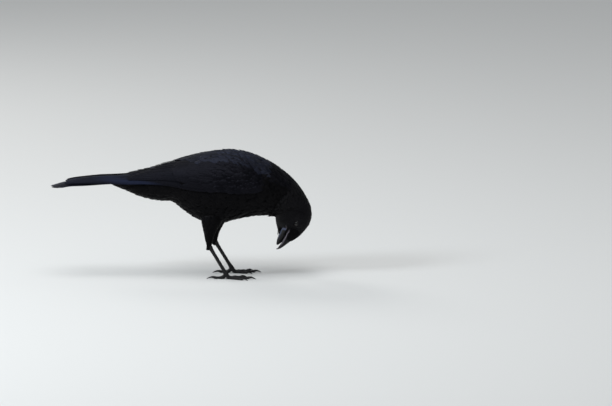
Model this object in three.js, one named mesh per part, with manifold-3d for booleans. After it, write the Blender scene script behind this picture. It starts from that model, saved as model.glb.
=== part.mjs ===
// An American crow, life size, bending down to pick at the ground, as a still museum model.
// Millimetres, +Z up. The crow faces +X, its left is +Y, and its toes stand on Z = 0.
// The body is one loft from the tail coverts over the back and down to the face, cut into
// head, neck, trunk and rump. Wings and tail are slabs with one step for each feather.
import * as THREE from "three";
import { mergeVertices } from "three/addons/utils/BufferGeometryUtils.js";
import Module from "manifold-3d";

const wasm = await Module();
wasm.setup();
const { degToRad, smoothstep, lerp } = THREE.MathUtils;

// ---------------------------------------------------------------- driving dimensions
const GAP = 0.3; // between neighbouring solids
const AROUND = 20; // corners of a body section

// The head has a frame of its own: forward runs down the bill, up leaves the crown.
const HEAD = {
  pitch: degToRad(126.7), // forward, turned down from +X
  roll: degToRad(6), // crown leaning to the crow's right
  twist: degToRad(-30.3), // about the vertical, bill towards the crow's left
  origin: new THREE.Vector3(134.3, 0, 83.9), // between the eyes
};
const EYE = { forward: 0, up: 0, side: 11.3, radius: 6.3 };

const FEET = {
  left: { side: 1, heel: [-1, 22, 51], ankle: [25, 25, 7.5], thigh: [5, 19.5, 103], toeOut: 4 },
  right: { side: -1, heel: [-9, -22, 51], ankle: [17, -25, 7.5], thigh: [-3, -19.5, 103], toeOut: 4 },
};
// Toe length and half thickness, degrees out from straight ahead, claw length, joints.
const TOES = {
  inner: { length: 25, thick: 2.7, turn: -24, claw: 9.5, joints: 2 },
  middle: { length: 35, thick: 2.9, turn: 0, claw: 11, joints: 3 },
  outer: { length: 28, thick: 2.6, turn: 22, claw: 9.5, joints: 3 },
  hallux: { length: 17, thick: 2.9, turn: 176, claw: 13, joints: 1 },
};

// ---------------------------------------------------------------- materials
const finish = (colour, roughness) =>
  new THREE.MeshStandardMaterial({ color: colour, roughness, metalness: 0 });
const PLUMAGE = finish(0x14131a, 0.55);
const FLIGHT = finish(0x17161f, 0.42);
const HORN = finish(0x1d1c1f, 0.35);
const LEG = finish(0x191819, 0.5);
const EYE_GLOSS = finish(0x0c0806, 0.08);

// ---------------------------------------------------------------- shared tools
// A smooth curve through rows of numbers, read at row index t.
function between(rows, t) {
  const last = rows.length - 1;
  const i = Math.min(Math.floor(t), last - 1);
  const f = t - i;
  const at = (k) => rows[Math.max(0, Math.min(last, k))];
  const [a, b, c, d] = [at(i - 1), at(i), at(i + 1), at(i + 2)];
  return b.map((_, k) => {
    const slopeIn = (c[k] - a[k]) / 2;
    const slopeOut = (d[k] - b[k]) / 2;
    const curve = 2 * b[k] - 2 * c[k] + slopeIn + slopeOut;
    const bend = -3 * b[k] + 3 * c[k] - 2 * slopeIn - slopeOut;
    return ((curve * f + bend) * f + slopeIn) * f + b[k];
  });
}

// The same curve, read by its first column, which falls all the way.
function betweenAt(rows, value) {
  let i = 0;
  while (i < rows.length - 2 && rows[i + 1][0] > value) i += 1;
  const f = (value - rows[i][0]) / (rows[i + 1][0] - rows[i][0]);
  return between(rows, i + Math.max(0, Math.min(1, f)));
}

// A closed skin over rings that all have the same number of corners.
function loft(rings) {
  const count = rings[0].length;
  const points = rings.flat();
  const faces = [];
  for (let r = 0; r + 1 < rings.length; r += 1) {
    for (let k = 0; k < count; k += 1) {
      const [a, b] = [r * count + k, r * count + ((k + 1) % count)];
      faces.push(a, b, b + count, a, b + count, a + count);
    }
  }
  for (const [ring, turned] of [[0, true], [rings.length - 1, false]]) {
    const middle = new THREE.Vector3();
    rings[ring].forEach((p) => middle.addScaledVector(p, 1 / count));
    points.push(middle);
    for (let k = 0; k < count; k += 1) {
      const [a, b] = [ring * count + k, ring * count + ((k + 1) % count)];
      faces.push(...(turned ? [b, a] : [a, b]), points.length - 1);
    }
  }
  return new THREE.BufferGeometry().setFromPoints(points).setIndex(faces);
}

// A closed slab over a grid: place(row, column, under) gives its upper and lower points.
function slab(rows, columns, place) {
  const points = [];
  for (const under of [false, true]) {
    for (let r = 0; r < rows; r += 1) {
      for (let c = 0; c < columns; c += 1) points.push(place(r, c, under));
    }
  }
  const sheet = rows * columns;
  const at = (r, c, under) => (under ? sheet : 0) + r * columns + c;
  const faces = [];
  const quad = (a, b, c, d) => faces.push(a, b, c, a, c, d);
  for (let r = 0; r + 1 < rows; r += 1) {
    for (let c = 0; c + 1 < columns; c += 1) {
      quad(at(r, c), at(r, c + 1), at(r + 1, c + 1), at(r + 1, c));
      quad(at(r, c, true), at(r + 1, c, true), at(r + 1, c + 1, true), at(r, c + 1, true));
    }
    quad(at(r, 0), at(r + 1, 0), at(r + 1, 0, true), at(r, 0, true));
    const c = columns - 1;
    quad(at(r, c), at(r, c, true), at(r + 1, c, true), at(r + 1, c));
  }
  for (let c = 0; c + 1 < columns; c += 1) {
    quad(at(0, c), at(0, c, true), at(0, c + 1, true), at(0, c + 1));
    const r = rows - 1;
    quad(at(r, c), at(r, c + 1), at(r, c + 1, true), at(r, c, true));
  }
  return new THREE.BufferGeometry().setFromPoints(points).setIndex(faces);
}

// A geometry as a manifold-3d solid with its faces pointing out.
function solid(geometry) {
  const bare = geometry.clone().deleteAttribute("normal").deleteAttribute("uv");
  const merged = mergeVertices(bare, 1e-4);
  const triVerts = new Uint32Array(merged.index.array);
  const vertProperties = new Float32Array(merged.attributes.position.array);
  const make = () => new wasm.Manifold(new wasm.Mesh({ numProp: 3, vertProperties, triVerts }));
  const made = make();
  if (made.volume() > 0) return made;
  for (let i = 0; i < triVerts.length; i += 3) {
    [triVerts[i + 1], triVerts[i + 2]] = [triVerts[i + 2], triVerts[i + 1]];
  }
  return make();
}

const joined = (solids) => solids.reduce((all, s) => all.add(s));
const without = (whole, ...cutters) => cutters.reduce((left, c) => left.subtract(c), whole);

// The largest separate body of a cut solid, so that no crumb of a cut is kept.
function largest(cut) {
  return cut.decompose().reduce((a, b) => (b.volume() > a.volume() ? b : a));
}

// Everything on the positive side of a plane, as a large box to intersect with.
function halfSpace(point, normal) {
  const size = 900;
  const box = new THREE.BoxGeometry(size, size, size).translate(0, 0, size / 2);
  const turn = new THREE.Quaternion().setFromUnitVectors(new THREE.Vector3(0, 0, 1), normal);
  return solid(box.applyQuaternion(turn).translate(...point.toArray()));
}

function mesh(name, body, material) {
  const made = body.getMesh();
  const geometry = new THREE.BufferGeometry();
  geometry.setAttribute("position", new THREE.BufferAttribute(made.vertProperties, 3));
  geometry.setIndex(new THREE.BufferAttribute(made.triVerts, 1));
  geometry.computeVertexNormals();
  const piece = new THREE.Mesh(geometry, material);
  piece.name = name;
  return piece;
}

// ---------------------------------------------------------------- head frame
const FORWARD = new THREE.Vector3(Math.cos(HEAD.pitch), 0, -Math.sin(HEAD.pitch));
const UP = new THREE.Vector3(Math.sin(HEAD.pitch), 0, Math.cos(HEAD.pitch));
const VERTICAL = new THREE.Vector3(0, 0, 1);
const HEAD_TURN = new THREE.Quaternion()
  .setFromAxisAngle(VERTICAL, HEAD.twist)
  .multiply(new THREE.Quaternion().setFromAxisAngle(FORWARD, HEAD.roll));

// A point carried round by a share of the head's turn: all of it in the head, less up the neck.
function turned(point, share) {
  const turn = new THREE.Quaternion().slerp(HEAD_TURN, share);
  return point.clone().sub(HEAD.origin).applyQuaternion(turn).add(HEAD.origin);
}

const inHeadPlane = (forward, up) =>
  HEAD.origin.clone().addScaledVector(FORWARD, forward).addScaledVector(UP, up);

function headPoint(forward, up, side) {
  const p = inHeadPlane(forward, up);
  p.y += side;
  return turned(p, 1);
}

// ---------------------------------------------------------------- body
// Each row is one section: back x, back z, belly x, belly z, half width, share of the turn.
const inBody = (backX, backZ, bellyX, bellyZ, half, share = 0) => [
  backX, backZ, bellyX, bellyZ, half, share,
];
function inHead(topForward, topUp, chinForward, chinUp, half) {
  const [top, chin] = [inHeadPlane(topForward, topUp), inHeadPlane(chinForward, chinUp)];
  return [top.x, top.z, chin.x, chin.z, half, 1];
}
const BODY_ROWS = [
  inBody(-139, 160, -153, 140.5, 15), // ends of the tail coverts
  inBody(-122, 165.2, -133, 132, 20),
  inBody(-104, 168.8, -109, 122.3, 23.5),
  inBody(-82, 172.8, -84, 118.3, 27.5), // rump and vent
  inBody(-58, 178.8, -65, 116.5, 32),
  inBody(-34, 187.8, -46, 101.5, 37),
  inBody(-8, 194.8, -22, 87.5, 41.5), // loins and belly
  inBody(20, 198.3, 4, 83.5, 44.5),
  inBody(46, 195.2, 32, 90.5, 45),
  inBody(70, 186.8, 60, 96, 43), // shoulders and breast
  inBody(91, 175.6, 77, 96, 39.5),
  inBody(109, 162.3, 85, 94.6, 35.5, 0.03),
  inBody(123.3, 148.2, 87, 94, 31.8, 0.12), // neck
  inBody(134.2, 132.6, 88.2, 93, 28.8, 0.32),
  inBody(142.6, 117, 89.5, 92, 26.4, 0.62),
  inHead(-25, -4, 20.2, -42.6, 24), // nape and throat
  inHead(-16.5, 5.4, 24, -38.6, 21.2),
  inHead(-5, 10.2, 28.6, -34.4, 18.6), // crown
  inHead(7, 11, 33, -31, 15),
  inHead(18, 9.6, 36.6, -28.4, 10.4),
  inHead(28, 6.8, 39.6, -26, 4.8), // forehead and chin
];
const BEND_ROW = 9; // the neck bends from here, and gets rings between the rows
const CUTS = { rump: 3.4, neck: 10.4, head: 14.6 }; // row index where each begins

function bodyRing(t, grow = 0) {
  const [backX, backZ, bellyX, bellyZ, half, share] = between(BODY_ROWS, t);
  const back = new THREE.Vector3(backX, 0, backZ);
  const belly = new THREE.Vector3(bellyX, 0, bellyZ);
  const middle = back.clone().add(belly).multiplyScalar(0.5);
  const tall = back.clone().sub(middle);
  tall.setLength(tall.length() + grow);
  const ring = [];
  for (let k = 0; k < AROUND; k += 1) {
    const angle = (k / AROUND) * 2 * Math.PI;
    const p = middle.clone().addScaledVector(tall, Math.cos(angle));
    p.y = (half + grow) * Math.sin(angle);
    ring.push(turned(p, Math.max(0, Math.min(1, share))));
  }
  return ring;
}

function bodySolid(grow = 0) {
  const rings = [];
  const last = BODY_ROWS.length - 1;
  for (let t = 0; t <= last; t += t < BEND_ROW ? 1 : 0.5) rings.push(bodyRing(t, grow));
  return solid(loft(rings));
}

// A cut across the body at a row: a point of its plane and the direction towards the head.
function crossCut(row) {
  const ring = bodyRing(row);
  const [top, side, low] = [ring[0], ring[AROUND / 4], ring[AROUND / 2]];
  const normal = side.clone().sub(top).cross(low.clone().sub(top)).normalize();
  if (normal.dot(bodyRing(row + 0.4)[0].sub(top)) < 0) normal.negate();
  return {
    ahead: halfSpace(top.clone().addScaledVector(normal, GAP / 2), normal),
    behind: halfSpace(top.clone().addScaledVector(normal, -GAP / 2), normal.clone().negate()),
  };
}

function piecesOfBody(whole) {
  const [rump, neck, head] = [CUTS.rump, CUTS.neck, CUTS.head].map(crossCut);
  return {
    rump: whole.intersect(rump.behind),
    trunk: whole.intersect(rump.ahead).intersect(neck.behind),
    neck: whole.intersect(neck.ahead).intersect(head.behind),
    head: whole.intersect(head.ahead),
  };
}

// ---------------------------------------------------------------- bill, eyes, nasal bristles
// Rows of a mandible: forward, ridge, cutting edge, half width. The bill is a little open.
const UPPER_BILL = [
  [13, 5, -8.2, 8.4],
  [22, 4.4, -7.6, 8.4],
  [31, 3, -7.2, 7.6],
  [40, 0.9, -6.9, 6.4],
  [49, -1.6, -6.9, 5.1],
  [56.5, -4, -7.4, 3.9],
  [61.5, -6.1, -8.4, 2.6],
  [65.2, -8.8, -10.4, 1.1],
];
const LOWER_BILL = [
  [9, -20.6, -12.5, 7.4],
  [18, -21.6, -10.8, 8],
  [27, -21.5, -10.2, 7.3],
  [36, -20.8, -10.2, 6.2],
  [45, -19.5, -10.4, 5],
  [52, -17.8, -10.9, 3.8],
  [56.5, -16, -11.7, 2.5],
  [59.5, -14.4, -12.6, 1.2],
];
// The bristles lie forward over the root of the upper mandible, thinning to their tips.
const BRISTLES = [
  [16, 10, -4, 10],
  [24, 8, -3.4, 9.4],
  [31, 5.6, -3, 8],
  [38, 2.9, -2.2, 6.6],
];

// The ridge side of the section is round, and the cutting edge is nearly flat.
function horn(rows, grow = 0) {
  const corners = 8;
  const rings = rows.map(([forward, ridge, edge, half], i) => {
    const ends = i === 0 ? -grow : i === rows.length - 1 ? grow : 0;
    const tall = ridge - edge;
    const away = grow * Math.sign(tall);
    const ring = [];
    for (let k = 0; k < corners; k += 1) {
      const angle = ((k + 0.5) / corners) * 2 * Math.PI;
      const lift = Math.cos(angle);
      const up = lift > 0 ? edge + tall * lift ** 0.8 * 1.04 : edge - away;
      const wide = (half + grow) * (lift > 0 ? 1 : 0.9);
      const side = wide * Math.sign(Math.sin(angle)) * Math.abs(Math.sin(angle)) ** 0.85;
      ring.push(headPoint(forward + ends, up + (lift > 0 ? away : 0), side));
    }
    return ring;
  });
  return solid(loft(rings));
}

function eyeball(side, radius) {
  const ball = new THREE.SphereGeometry(radius, 10, 8);
  return solid(ball.translate(...headPoint(EYE.forward, EYE.up, side * EYE.side).toArray()));
}

// ---------------------------------------------------------------- wings
// The folded wing's outer surface, by section: x, top edge y and z, low edge y and z, bulge.
const WING_ROWS = [
  [90, 36.5, 154, 39.5, 144, 1], // bend of the wing
  [82, 34.5, 163.5, 44, 134, 3.5],
  [66, 31, 176.5, 48, 129, 7],
  [42, 26, 187.5, 50.5, 127, 10],
  [14, 20, 192.5, 51, 127.3, 11.5],
  [-18, 14, 191, 48, 130, 12],
  [-50, 8, 185, 42.5, 135.5, 11],
  [-80, 4, 177.2, 36, 141.5, 9],
  [-105, 3, 170.6, 31, 144.5, 7],
  [-131, 3, 164.8, 27, 146, 5.5],
  [-165, 3, 159.8, 24, 147, 4.2],
  [-200, 2.5, 156, 20, 146.7, 3.2],
  [-234, 2, 151, 14.5, 144.8, 2.2],
];

// A point of the wing's surface, v from its top edge to its low edge, lifted off by offset.
function wingPoint(x, v, offset, side) {
  const [, topY, topZ, lowY, lowZ, bulge] = betweenAt(WING_ROWS, x);
  const across = new THREE.Vector2(lowY - topY, lowZ - topZ);
  const chord = across.length();
  const out = new THREE.Vector2(-across.y, across.x).divideScalar(chord);
  const slope = (bulge * 4 * (1 - 2 * v)) / chord;
  const lean = Math.hypot(1, slope);
  const rise = bulge * 4 * v * (1 - v) + offset / lean;
  const along = v - (offset * slope) / lean / chord;
  return new THREE.Vector3(
    x,
    side * (topY + across.x * along + out.x * rise),
    topZ + across.y * along + out.y * rise,
  );
}

// The shoulder and coverts, deep at the shoulder and a thin cover over the flight feathers.
const COVERTS = { front: 90, tip: -66, deep: 10, thin: 1.3, rows: 13, columns: 8 };
function coverts(side) {
  const { front, tip, deep, thin, rows, columns } = COVERTS;
  return solid(slab(rows, columns, (r, c, under) => {
    const [s, e] = [r / (rows - 1), c / (columns - 1)];
    const x = lerp(front, tip, s) + 9 * s * Math.abs(2 * e - 1) ** 2;
    const reach = Math.min(1, Math.sqrt(s * 7 + 0.25)) * (1 - 0.16 * s ** 3);
    const v = 0.5 - 0.04 * s + (e - 0.5) * reach;
    const depth = lerp(deep, thin, smoothstep(s, 0.25, 0.62));
    const lowEdge = e === 1 ? 0.4 : 0;
    return wingPoint(x, v, under ? -depth : -lowEdge * depth, side);
  }));
}

// Flight feathers side by side on the wing's surface. Each has three columns, a step down to
// the next and its own tip, and the slab is the thickness of the stack.
function flightFeathers(side, { tips, root, rootV, tipV, cover, step, thick, rows, lift }) {
  const columns = tips.length * 3;
  return solid(slab(rows, columns, (r, c, under) => {
    const [feather, edge] = [Math.floor(c / 3), (c % 3) - 1];
    const s = r / (rows - 1);
    const notch = Math.abs(edge) * (edge < 0 ? 4.5 : 7);
    const x = lerp(root, tips[feather] + notch, s);
    const place = (feather + 0.5 + edge * 0.49) / tips.length;
    const v = lerp(lerp(rootV[0], rootV[1], place), lerp(tipV[0], tipV[1], place), s);
    const outer = -cover - step * (edge + 1) * 0.5 + (lift ? lift(x) : 0);
    return wingPoint(x, v, under ? outer - lerp(thick[0], thick[1], s) : outer, side);
  }));
}

// Tertials and secondaries, from the back down.
const SECONDARIES = {
  tips: [-88, -101, -112, -121, -128, -133],
  root: -22,
  rootV: [0.03, 0.9],
  tipV: [0.04, 0.92],
  cover: COVERTS.thin + 1.2,
  step: 0.9,
  thick: [2.2, 1],
  rows: 5,
};
// Primaries come out from under the secondaries and reach almost to the end of the tail.
const PRIMARIES = {
  tips: [-180, -198, -213, -225, -231],
  root: -86,
  rootV: [0.3, 0.9],
  tipV: [0.06, 0.94],
  cover: 0,
  step: 0.8,
  thick: [1.6, 0.9],
  rows: 7,
  lift: (x) => -(SECONDARIES.cover + 4) * (1 - smoothstep(-x, 122, 170)),
};

// ---------------------------------------------------------------- tail
// The tail's middle line: x and z of the upper surface between the two middle feathers.
const TAIL_LINE = [[-108, 151.5], [-150, 151.8], [-185, 150.3], [-220, 147.3], [-252.5, 142.2]];
const TAIL = {
  pairs: 6,
  root: -110,
  end: -252.5,
  rootHalf: 11,
  half: 21.5,
  drop: 0.55, // from one feather to the next one out
  arch: 0.0045,
  shorten: [0, 1, 2.5, 5, 8.5, 14], // each pair's tip, short of the longest
  thick: [4.4, 1.2],
  rows: 6,
};

// One feather step on each side for every pair, with the middle pair on top.
function tail() {
  const { pairs, root, end, rootHalf, half, drop, arch, shorten, thick, rows } = TAIL;
  const columns = pairs * 4;
  return solid(slab(rows, columns, (r, c, under) => {
    const s = r / (rows - 1);
    const right = c < columns / 2;
    const fromMiddle = right ? columns / 2 - 1 - c : c - columns / 2;
    const [pair, outer] = [Math.floor(fromMiddle / 2), fromMiddle % 2];
    const reach = (pair + 0.06 + outer * 0.88) / pairs;
    const x = lerp(root, end + shorten[pair] + outer * 2.2, s);
    const y = reach * lerp(rootHalf, half, smoothstep(s, 0, 0.8)) * (1 - 0.06 * s ** 6);
    const [, top] = betweenAt(TAIL_LINE, x);
    const z = top - arch * y * y - drop * pair - (under ? lerp(thick[0], thick[1], s) : 0);
    return new THREE.Vector3(x, right ? -y : y, z);
  }));
}

// ---------------------------------------------------------------- legs
// A limb along rows of x, y, z, half length fore and aft, half width.
function limb(rows, corners, grow = 0) {
  const last = rows.length - 1;
  const rings = rows.map(([x, y, z, fore, wide], i) => {
    const [a, b] = [rows[Math.max(0, i - 1)], rows[Math.min(last, i + 1)]];
    const along = new THREE.Vector3(b[0] - a[0], b[1] - a[1], b[2] - a[2]).normalize();
    const upright = Math.abs(along.z) > 0.7;
    const across = upright ? new THREE.Vector3(0, 1, 0) : along.clone().cross(VERTICAL);
    across.addScaledVector(along, -across.dot(along)).normalize();
    const front = across.clone().cross(along);
    const middle = new THREE.Vector3(x, y, z);
    middle.addScaledVector(along, i === 0 ? -grow : i === last ? grow : 0);
    const ring = [];
    for (let k = 0; k < corners; k += 1) {
      const angle = ((k + 0.5) / corners) * 2 * Math.PI;
      ring.push(
        middle
          .clone()
          .addScaledVector(front, (fore + grow) * Math.cos(angle))
          .addScaledVector(across, (wide + grow) * Math.sin(angle)),
      );
    }
    return ring;
  });
  return solid(loft(rings));
}

const along = (from, to, share) => from.map((value, i) => lerp(value, to[i], share));

// The feathered shank, from inside the belly to just above the heel.
function thigh({ thigh: hip, heel }, grow = 0) {
  const at = (share, back, fore, wide) => {
    const [x, y, z] = along(hip, heel, share);
    return [x - back, y, z, fore, wide];
  };
  const rows = [
    at(0, 0, 17, 12),
    at(0.16, 0.2, 17.4, 12.8),
    at(0.32, 0.7, 15.2, 12),
    at(0.46, 1.2, 12, 10.4),
    at(0.6, 1.5, 9.2, 8.4),
    at(0.76, 1.5, 6.6, 6.2),
    at(0.92, 0.6, 4.6, 4.4),
    at(1, 0, 3.5, 3.4),
  ];
  return limb(rows, 12, grow);
}

// The bare shank, with its knuckles at the heel and above the toes.
function tarsus({ heel, ankle }, grow = 0) {
  const at = (share, fore, wide) => [...along(heel, ankle, share), fore, wide];
  const rows = [
    at(-0.04, 2.6, 2.6),
    at(0.05, 3.6, 3.3),
    at(0.2, 2.7, 2.3),
    at(0.55, 2.5, 2),
    at(0.85, 2.7, 2.3),
    at(0.97, 3.5, 3.3),
    at(1.07, 3.1, 3),
  ];
  return limb(rows, 10, grow);
}

// Points above a toe's line on the floor, leaving the ankle in the toe's own direction.
function toeLine({ ankle: [ax, ay], side, toeOut }, { turn }) {
  const heading = degToRad(side * (turn + toeOut));
  return (reach, height) => [
    ax + Math.cos(heading) * reach,
    ay + Math.sin(heading) * reach,
    height,
  ];
}

const FLAT = 0.45; // how far a toe's pad is pressed flat by the floor

// A toe thins to its end and swells at each joint.
function toe(foot, shape, grow = 0) {
  const point = toeLine(foot, shape);
  const { length, thick, joints } = shape;
  const rows = [[...point(0.5, 6.2), thick, thick]];
  const swells = joints * 2;
  for (let j = 0; j <= swells; j += 1) {
    const share = (j + 0.6) / (swells + 0.6);
    const round = thick * (1 - 0.3 * share) * (j % 2 ? 0.86 : 1.04);
    rows.push([...point(lerp(1.5, length, share), round - FLAT), round, round]);
  }
  return limb(rows, 6, grow);
}

// The claw leaves the toe's end, arches over and comes down to the floor.
function claw(foot, shape) {
  const point = toeLine(foot, shape);
  const { length, thick, claw: reach } = shape;
  const [steps, inside, rise, tip] = [5, 1.6, 2.2, 0.35];
  const rows = [];
  for (let i = 0; i <= steps; i += 1) {
    const s = i / steps;
    const round = 0.6 * thick * (1 - s) ** 0.75 + tip;
    const height = lerp(0.7 * thick - FLAT, tip, s) + rise * Math.sin(Math.PI * s) * (1 - 0.4 * s);
    rows.push([...point(length - inside + (reach + inside) * s, height), round, round * 0.75]);
  }
  return limb(rows, 5);
}

// ---------------------------------------------------------------- the crow
const crow = new THREE.Group();
const put = (name, body, material) => crow.add(mesh(name, largest(body), material));
const floor = halfSpace(new THREE.Vector3(0, 0, 0), VERTICAL);
const sides = { left: 1, right: -1 };

const bodyGrown = bodySolid(GAP);
const tailWhole = tail();
const billGrown = joined([horn(UPPER_BILL, GAP), horn(LOWER_BILL, GAP)]);
const thighsGrown = joined(Object.values(FEET).map((foot) => thigh(foot, GAP)));
const sockets = Object.values(sides).map((side) => eyeball(side, EYE.radius + GAP));

// The pocket in the rump that holds the root of the tail.
const pocket = limb([
  [-108.5, 0, 147.9, 5.8, 15],
  [-130, 0, 148.2, 6, 18.5],
  [-160, 0, 147.9, 6, 24],
], 12);

const body = piecesOfBody(bodySolid());
put("head", without(body.head, billGrown, ...sockets), PLUMAGE);
put("neck", body.neck, PLUMAGE);
put("trunk", without(body.trunk, thighsGrown), PLUMAGE);
put("rump", without(body.rump, pocket), PLUMAGE);
put("nasal_bristles", without(horn(BRISTLES), bodyGrown, billGrown), PLUMAGE);
put("bill_upper", horn(UPPER_BILL), HORN);
put("bill_lower", without(horn(LOWER_BILL), horn(UPPER_BILL, GAP)), HORN);
put("tail", tailWhole, FLIGHT);

for (const [name, side] of Object.entries(sides)) {
  put(`eye_${name}`, eyeball(side, EYE.radius), EYE_GLOSS);
  put(`wing_${name}`, without(coverts(side), bodyGrown), FLIGHT);
  put(`secondaries_${name}`, without(flightFeathers(side, SECONDARIES), bodyGrown), FLIGHT);
  put(`primaries_${name}`, without(flightFeathers(side, PRIMARIES), bodyGrown), FLIGHT);
}

for (const [name, foot] of Object.entries(FEET)) {
  put(`thigh_${name}`, without(thigh(foot), tarsus(foot, GAP)), PLUMAGE);
  put(`tarsus_${name}`, tarsus(foot), LEG);
  let taken = tarsus(foot, GAP);
  for (const [toeName, shape] of Object.entries(TOES)) {
    const grown = toe(foot, shape, GAP);
    put(`toe_${toeName}_${name}`, without(toe(foot, shape), taken).intersect(floor), LEG);
    put(`claw_${toeName}_${name}`, without(claw(foot, shape), grown).intersect(floor), HORN);
    taken = joined([taken, grown]);
  }
}

// The origin is under the middle of the whole crow, on the floor.
const box = new THREE.Box3().setFromObject(crow);
crow.position.set(-(box.min.x + box.max.x) / 2, -(box.min.y + box.max.y) / 2, -box.min.z);

export default crow;
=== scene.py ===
# An American crow, life size, bending down to pick at the ground, as a museum shows it.
# The solids of the frame are dressed here: one skin, a coat of vanes, flight feathers, tail,
# bill, eyes and scaled feet. Places are in millimetres from the ground under the hips, with x
# forward, y to the crow's left and z up, and metres() carries them into the frame.
import itertools
import math

import bmesh
import bpy
import numpy as np
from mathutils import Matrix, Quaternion, Vector


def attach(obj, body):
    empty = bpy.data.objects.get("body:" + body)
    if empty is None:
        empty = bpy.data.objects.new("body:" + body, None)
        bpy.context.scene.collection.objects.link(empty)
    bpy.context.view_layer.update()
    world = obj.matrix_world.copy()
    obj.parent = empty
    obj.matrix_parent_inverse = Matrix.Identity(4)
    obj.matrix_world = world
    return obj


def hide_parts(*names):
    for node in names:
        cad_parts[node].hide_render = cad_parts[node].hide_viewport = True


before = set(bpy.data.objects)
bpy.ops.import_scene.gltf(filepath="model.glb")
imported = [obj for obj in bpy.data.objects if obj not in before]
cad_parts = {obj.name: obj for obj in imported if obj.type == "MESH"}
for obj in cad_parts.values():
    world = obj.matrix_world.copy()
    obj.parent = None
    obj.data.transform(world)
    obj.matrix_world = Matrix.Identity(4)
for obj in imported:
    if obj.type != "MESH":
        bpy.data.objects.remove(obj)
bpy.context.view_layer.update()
SHIFT = np.array([51.8440, 0.0, 0.0])  # from the middle of the crow's length to its hips
MM = 0.001
TURN = 2 * math.pi
SIDES = {"left": 1, "right": -1}


def metres(points):
    return (np.asarray(points, float) + SHIFT) * MM


def add_object(name, data):
    made = bpy.data.objects.new(name, data)
    bpy.context.scene.collection.objects.link(made)
    return made


# ---------------------------------------------------------------- shader tools
class Paint:
    """One material's node tree. node() adds any node and gives back its output."""

    def __init__(self, name):
        self.material = bpy.data.materials.new(name)
        self.material.use_nodes = True
        self.tree = self.material.node_tree
        self.tree.nodes.clear()
        self.out = self.tree.nodes.new("ShaderNodeOutputMaterial")

    def put(self, socket, value):
        if isinstance(value, Amount):
            self.tree.links.new(value.socket, socket)
        elif socket.type == "RGBA" and len(value) == 3:
            socket.default_value = (*value, 1.0)
        else:
            socket.default_value = value

    def node(self, kind, settings=None, inputs=None, output=0):
        made = self.tree.nodes.new(kind)
        for key, value in (settings or {}).items():
            setattr(made, key, value)
        for key, value in (inputs or {}).items():
            self.put(made.inputs[key], value)
        return Amount(self, made.outputs[output])

    def place(self):
        """Where a point of the surface lies, in the object's own coordinates."""
        return self.node("ShaderNodeTexCoord", output=3)

    def held(self, name):
        """The number that the mesh holds under this name."""
        return self.node("ShaderNodeAttribute", {"attribute_name": name}, output=2)

    def mix(self, factor, a, b):
        """From colour a to colour b."""
        return self.node(
            "ShaderNodeMix", {"data_type": "RGBA"}, {0: factor, 6: a, 7: b}, output=2
        )

    def noise(self, where, scale, detail=3.0, roughness=0.5):
        return self.node(
            "ShaderNodeTexNoise",
            None,
            {"Vector": where, "Scale": scale, "Detail": detail, "Roughness": roughness},
        )

    def surface(self, base, rough, bump=None, depth=0.0001, **constants):
        """The finished surface. Constants go straight on the shader's own sockets."""
        inputs = {"Base Color": base, "Roughness": rough}
        for key, value in constants.items():
            inputs[key.replace("_", " ")] = value
        if bump is not None:
            inputs["Normal"] = self.node(
                "ShaderNodeBump", None, {"Strength": 1.0, "Distance": depth, "Height": bump}
            )
        shader = self.node("ShaderNodeBsdfPrincipled", None, inputs)
        self.tree.links.new(shader.socket, self.out.inputs["Surface"])
        return self.material


class Amount:
    """A socket inside a Paint, so that shader maths reads as plain sums."""

    def __init__(self, paint, socket):
        self.paint = paint
        self.socket = socket

    def maths(self, operation, *values):
        return self.paint.node(
            "ShaderNodeMath", {"operation": operation}, dict(enumerate(values))
        )

    def __add__(self, other):
        return self.maths("ADD", self, other)

    __radd__ = __add__

    def __sub__(self, other):
        return self.maths("SUBTRACT", self, other)

    def __rsub__(self, other):
        return self.maths("SUBTRACT", other, self)

    def __mul__(self, other):
        return self.maths("MULTIPLY", self, other)

    __rmul__ = __mul__

    def __abs__(self):
        return self.maths("ABSOLUTE", self)

    def wave(self):
        return self.maths("SINE", self)

    def ramp(self, low, high, a=0.0, b=1.0):
        """From a at low to b at high, and level beyond."""
        return self.paint.node(
            "ShaderNodeMapRange", {"clamp": True}, {0: self, 1: low, 2: high, 3: a, 4: b}
        )


# ---------------------------------------------------------------- finishes
BARB_DEPTH, PORE_DEPTH, HORN_DEPTH, SCALE_DEPTH = 0.00006, 0.0002, 0.00012, 0.00025  # metres


def feather_finish(name, dark, light, rough, tint, gloss, sheen, outer=None):
    """Black vane: barbs slant away from the shaft, and each feather has a tone of its own.
    The colour outer, a painted highlight, takes over on long feathers, mostly 90 to 130 mm out."""
    p = Paint(name)
    vane = p.node("ShaderNodeUVMap", {"uv_map": "vane"})
    across = p.node("ShaderNodeSeparateXYZ", None, {0: vane}, output=0)
    along = p.node("ShaderNodeSeparateXYZ", None, {0: vane}, output=1)
    tone = p.held("tone")
    broad = p.noise(p.place(), 26.0, 2.0)
    barb = ((along + abs(across) * 1.3) * 900.0).wave() * 0.5 + 0.5
    streak = p.noise(vane, 60.0, 3.0, 0.6)
    light_share = (tone * 0.55 + broad * 0.45 + (streak - 0.5) * 0.5).ramp(0.25, 0.85)
    worn_edge = abs(across).ramp(0.045, 0.085) * 0.45
    base = p.mix(light_share + worn_edge, dark, light)
    # painted highlight: a lighter blue band on long feathers that stands in for light glinting on
    # them
    if outer:
        share = along.ramp(0.72, 0.98) * along.ramp(1.25, 1.65, 1.0, 0.2)
        base = p.mix(share * (light_share * 0.5 + 0.5), base, outer)
    roughness = (tone * 0.10 + streak * 0.12) + (rough - 0.09)
    return p.surface(
        base, roughness, barb * 0.5 + streak, BARB_DEPTH,
        Specular_IOR_Level=gloss, Specular_Tint=tint,
        Sheen_Weight=sheen, Sheen_Roughness=0.45, Sheen_Tint=tint,
    )


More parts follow.
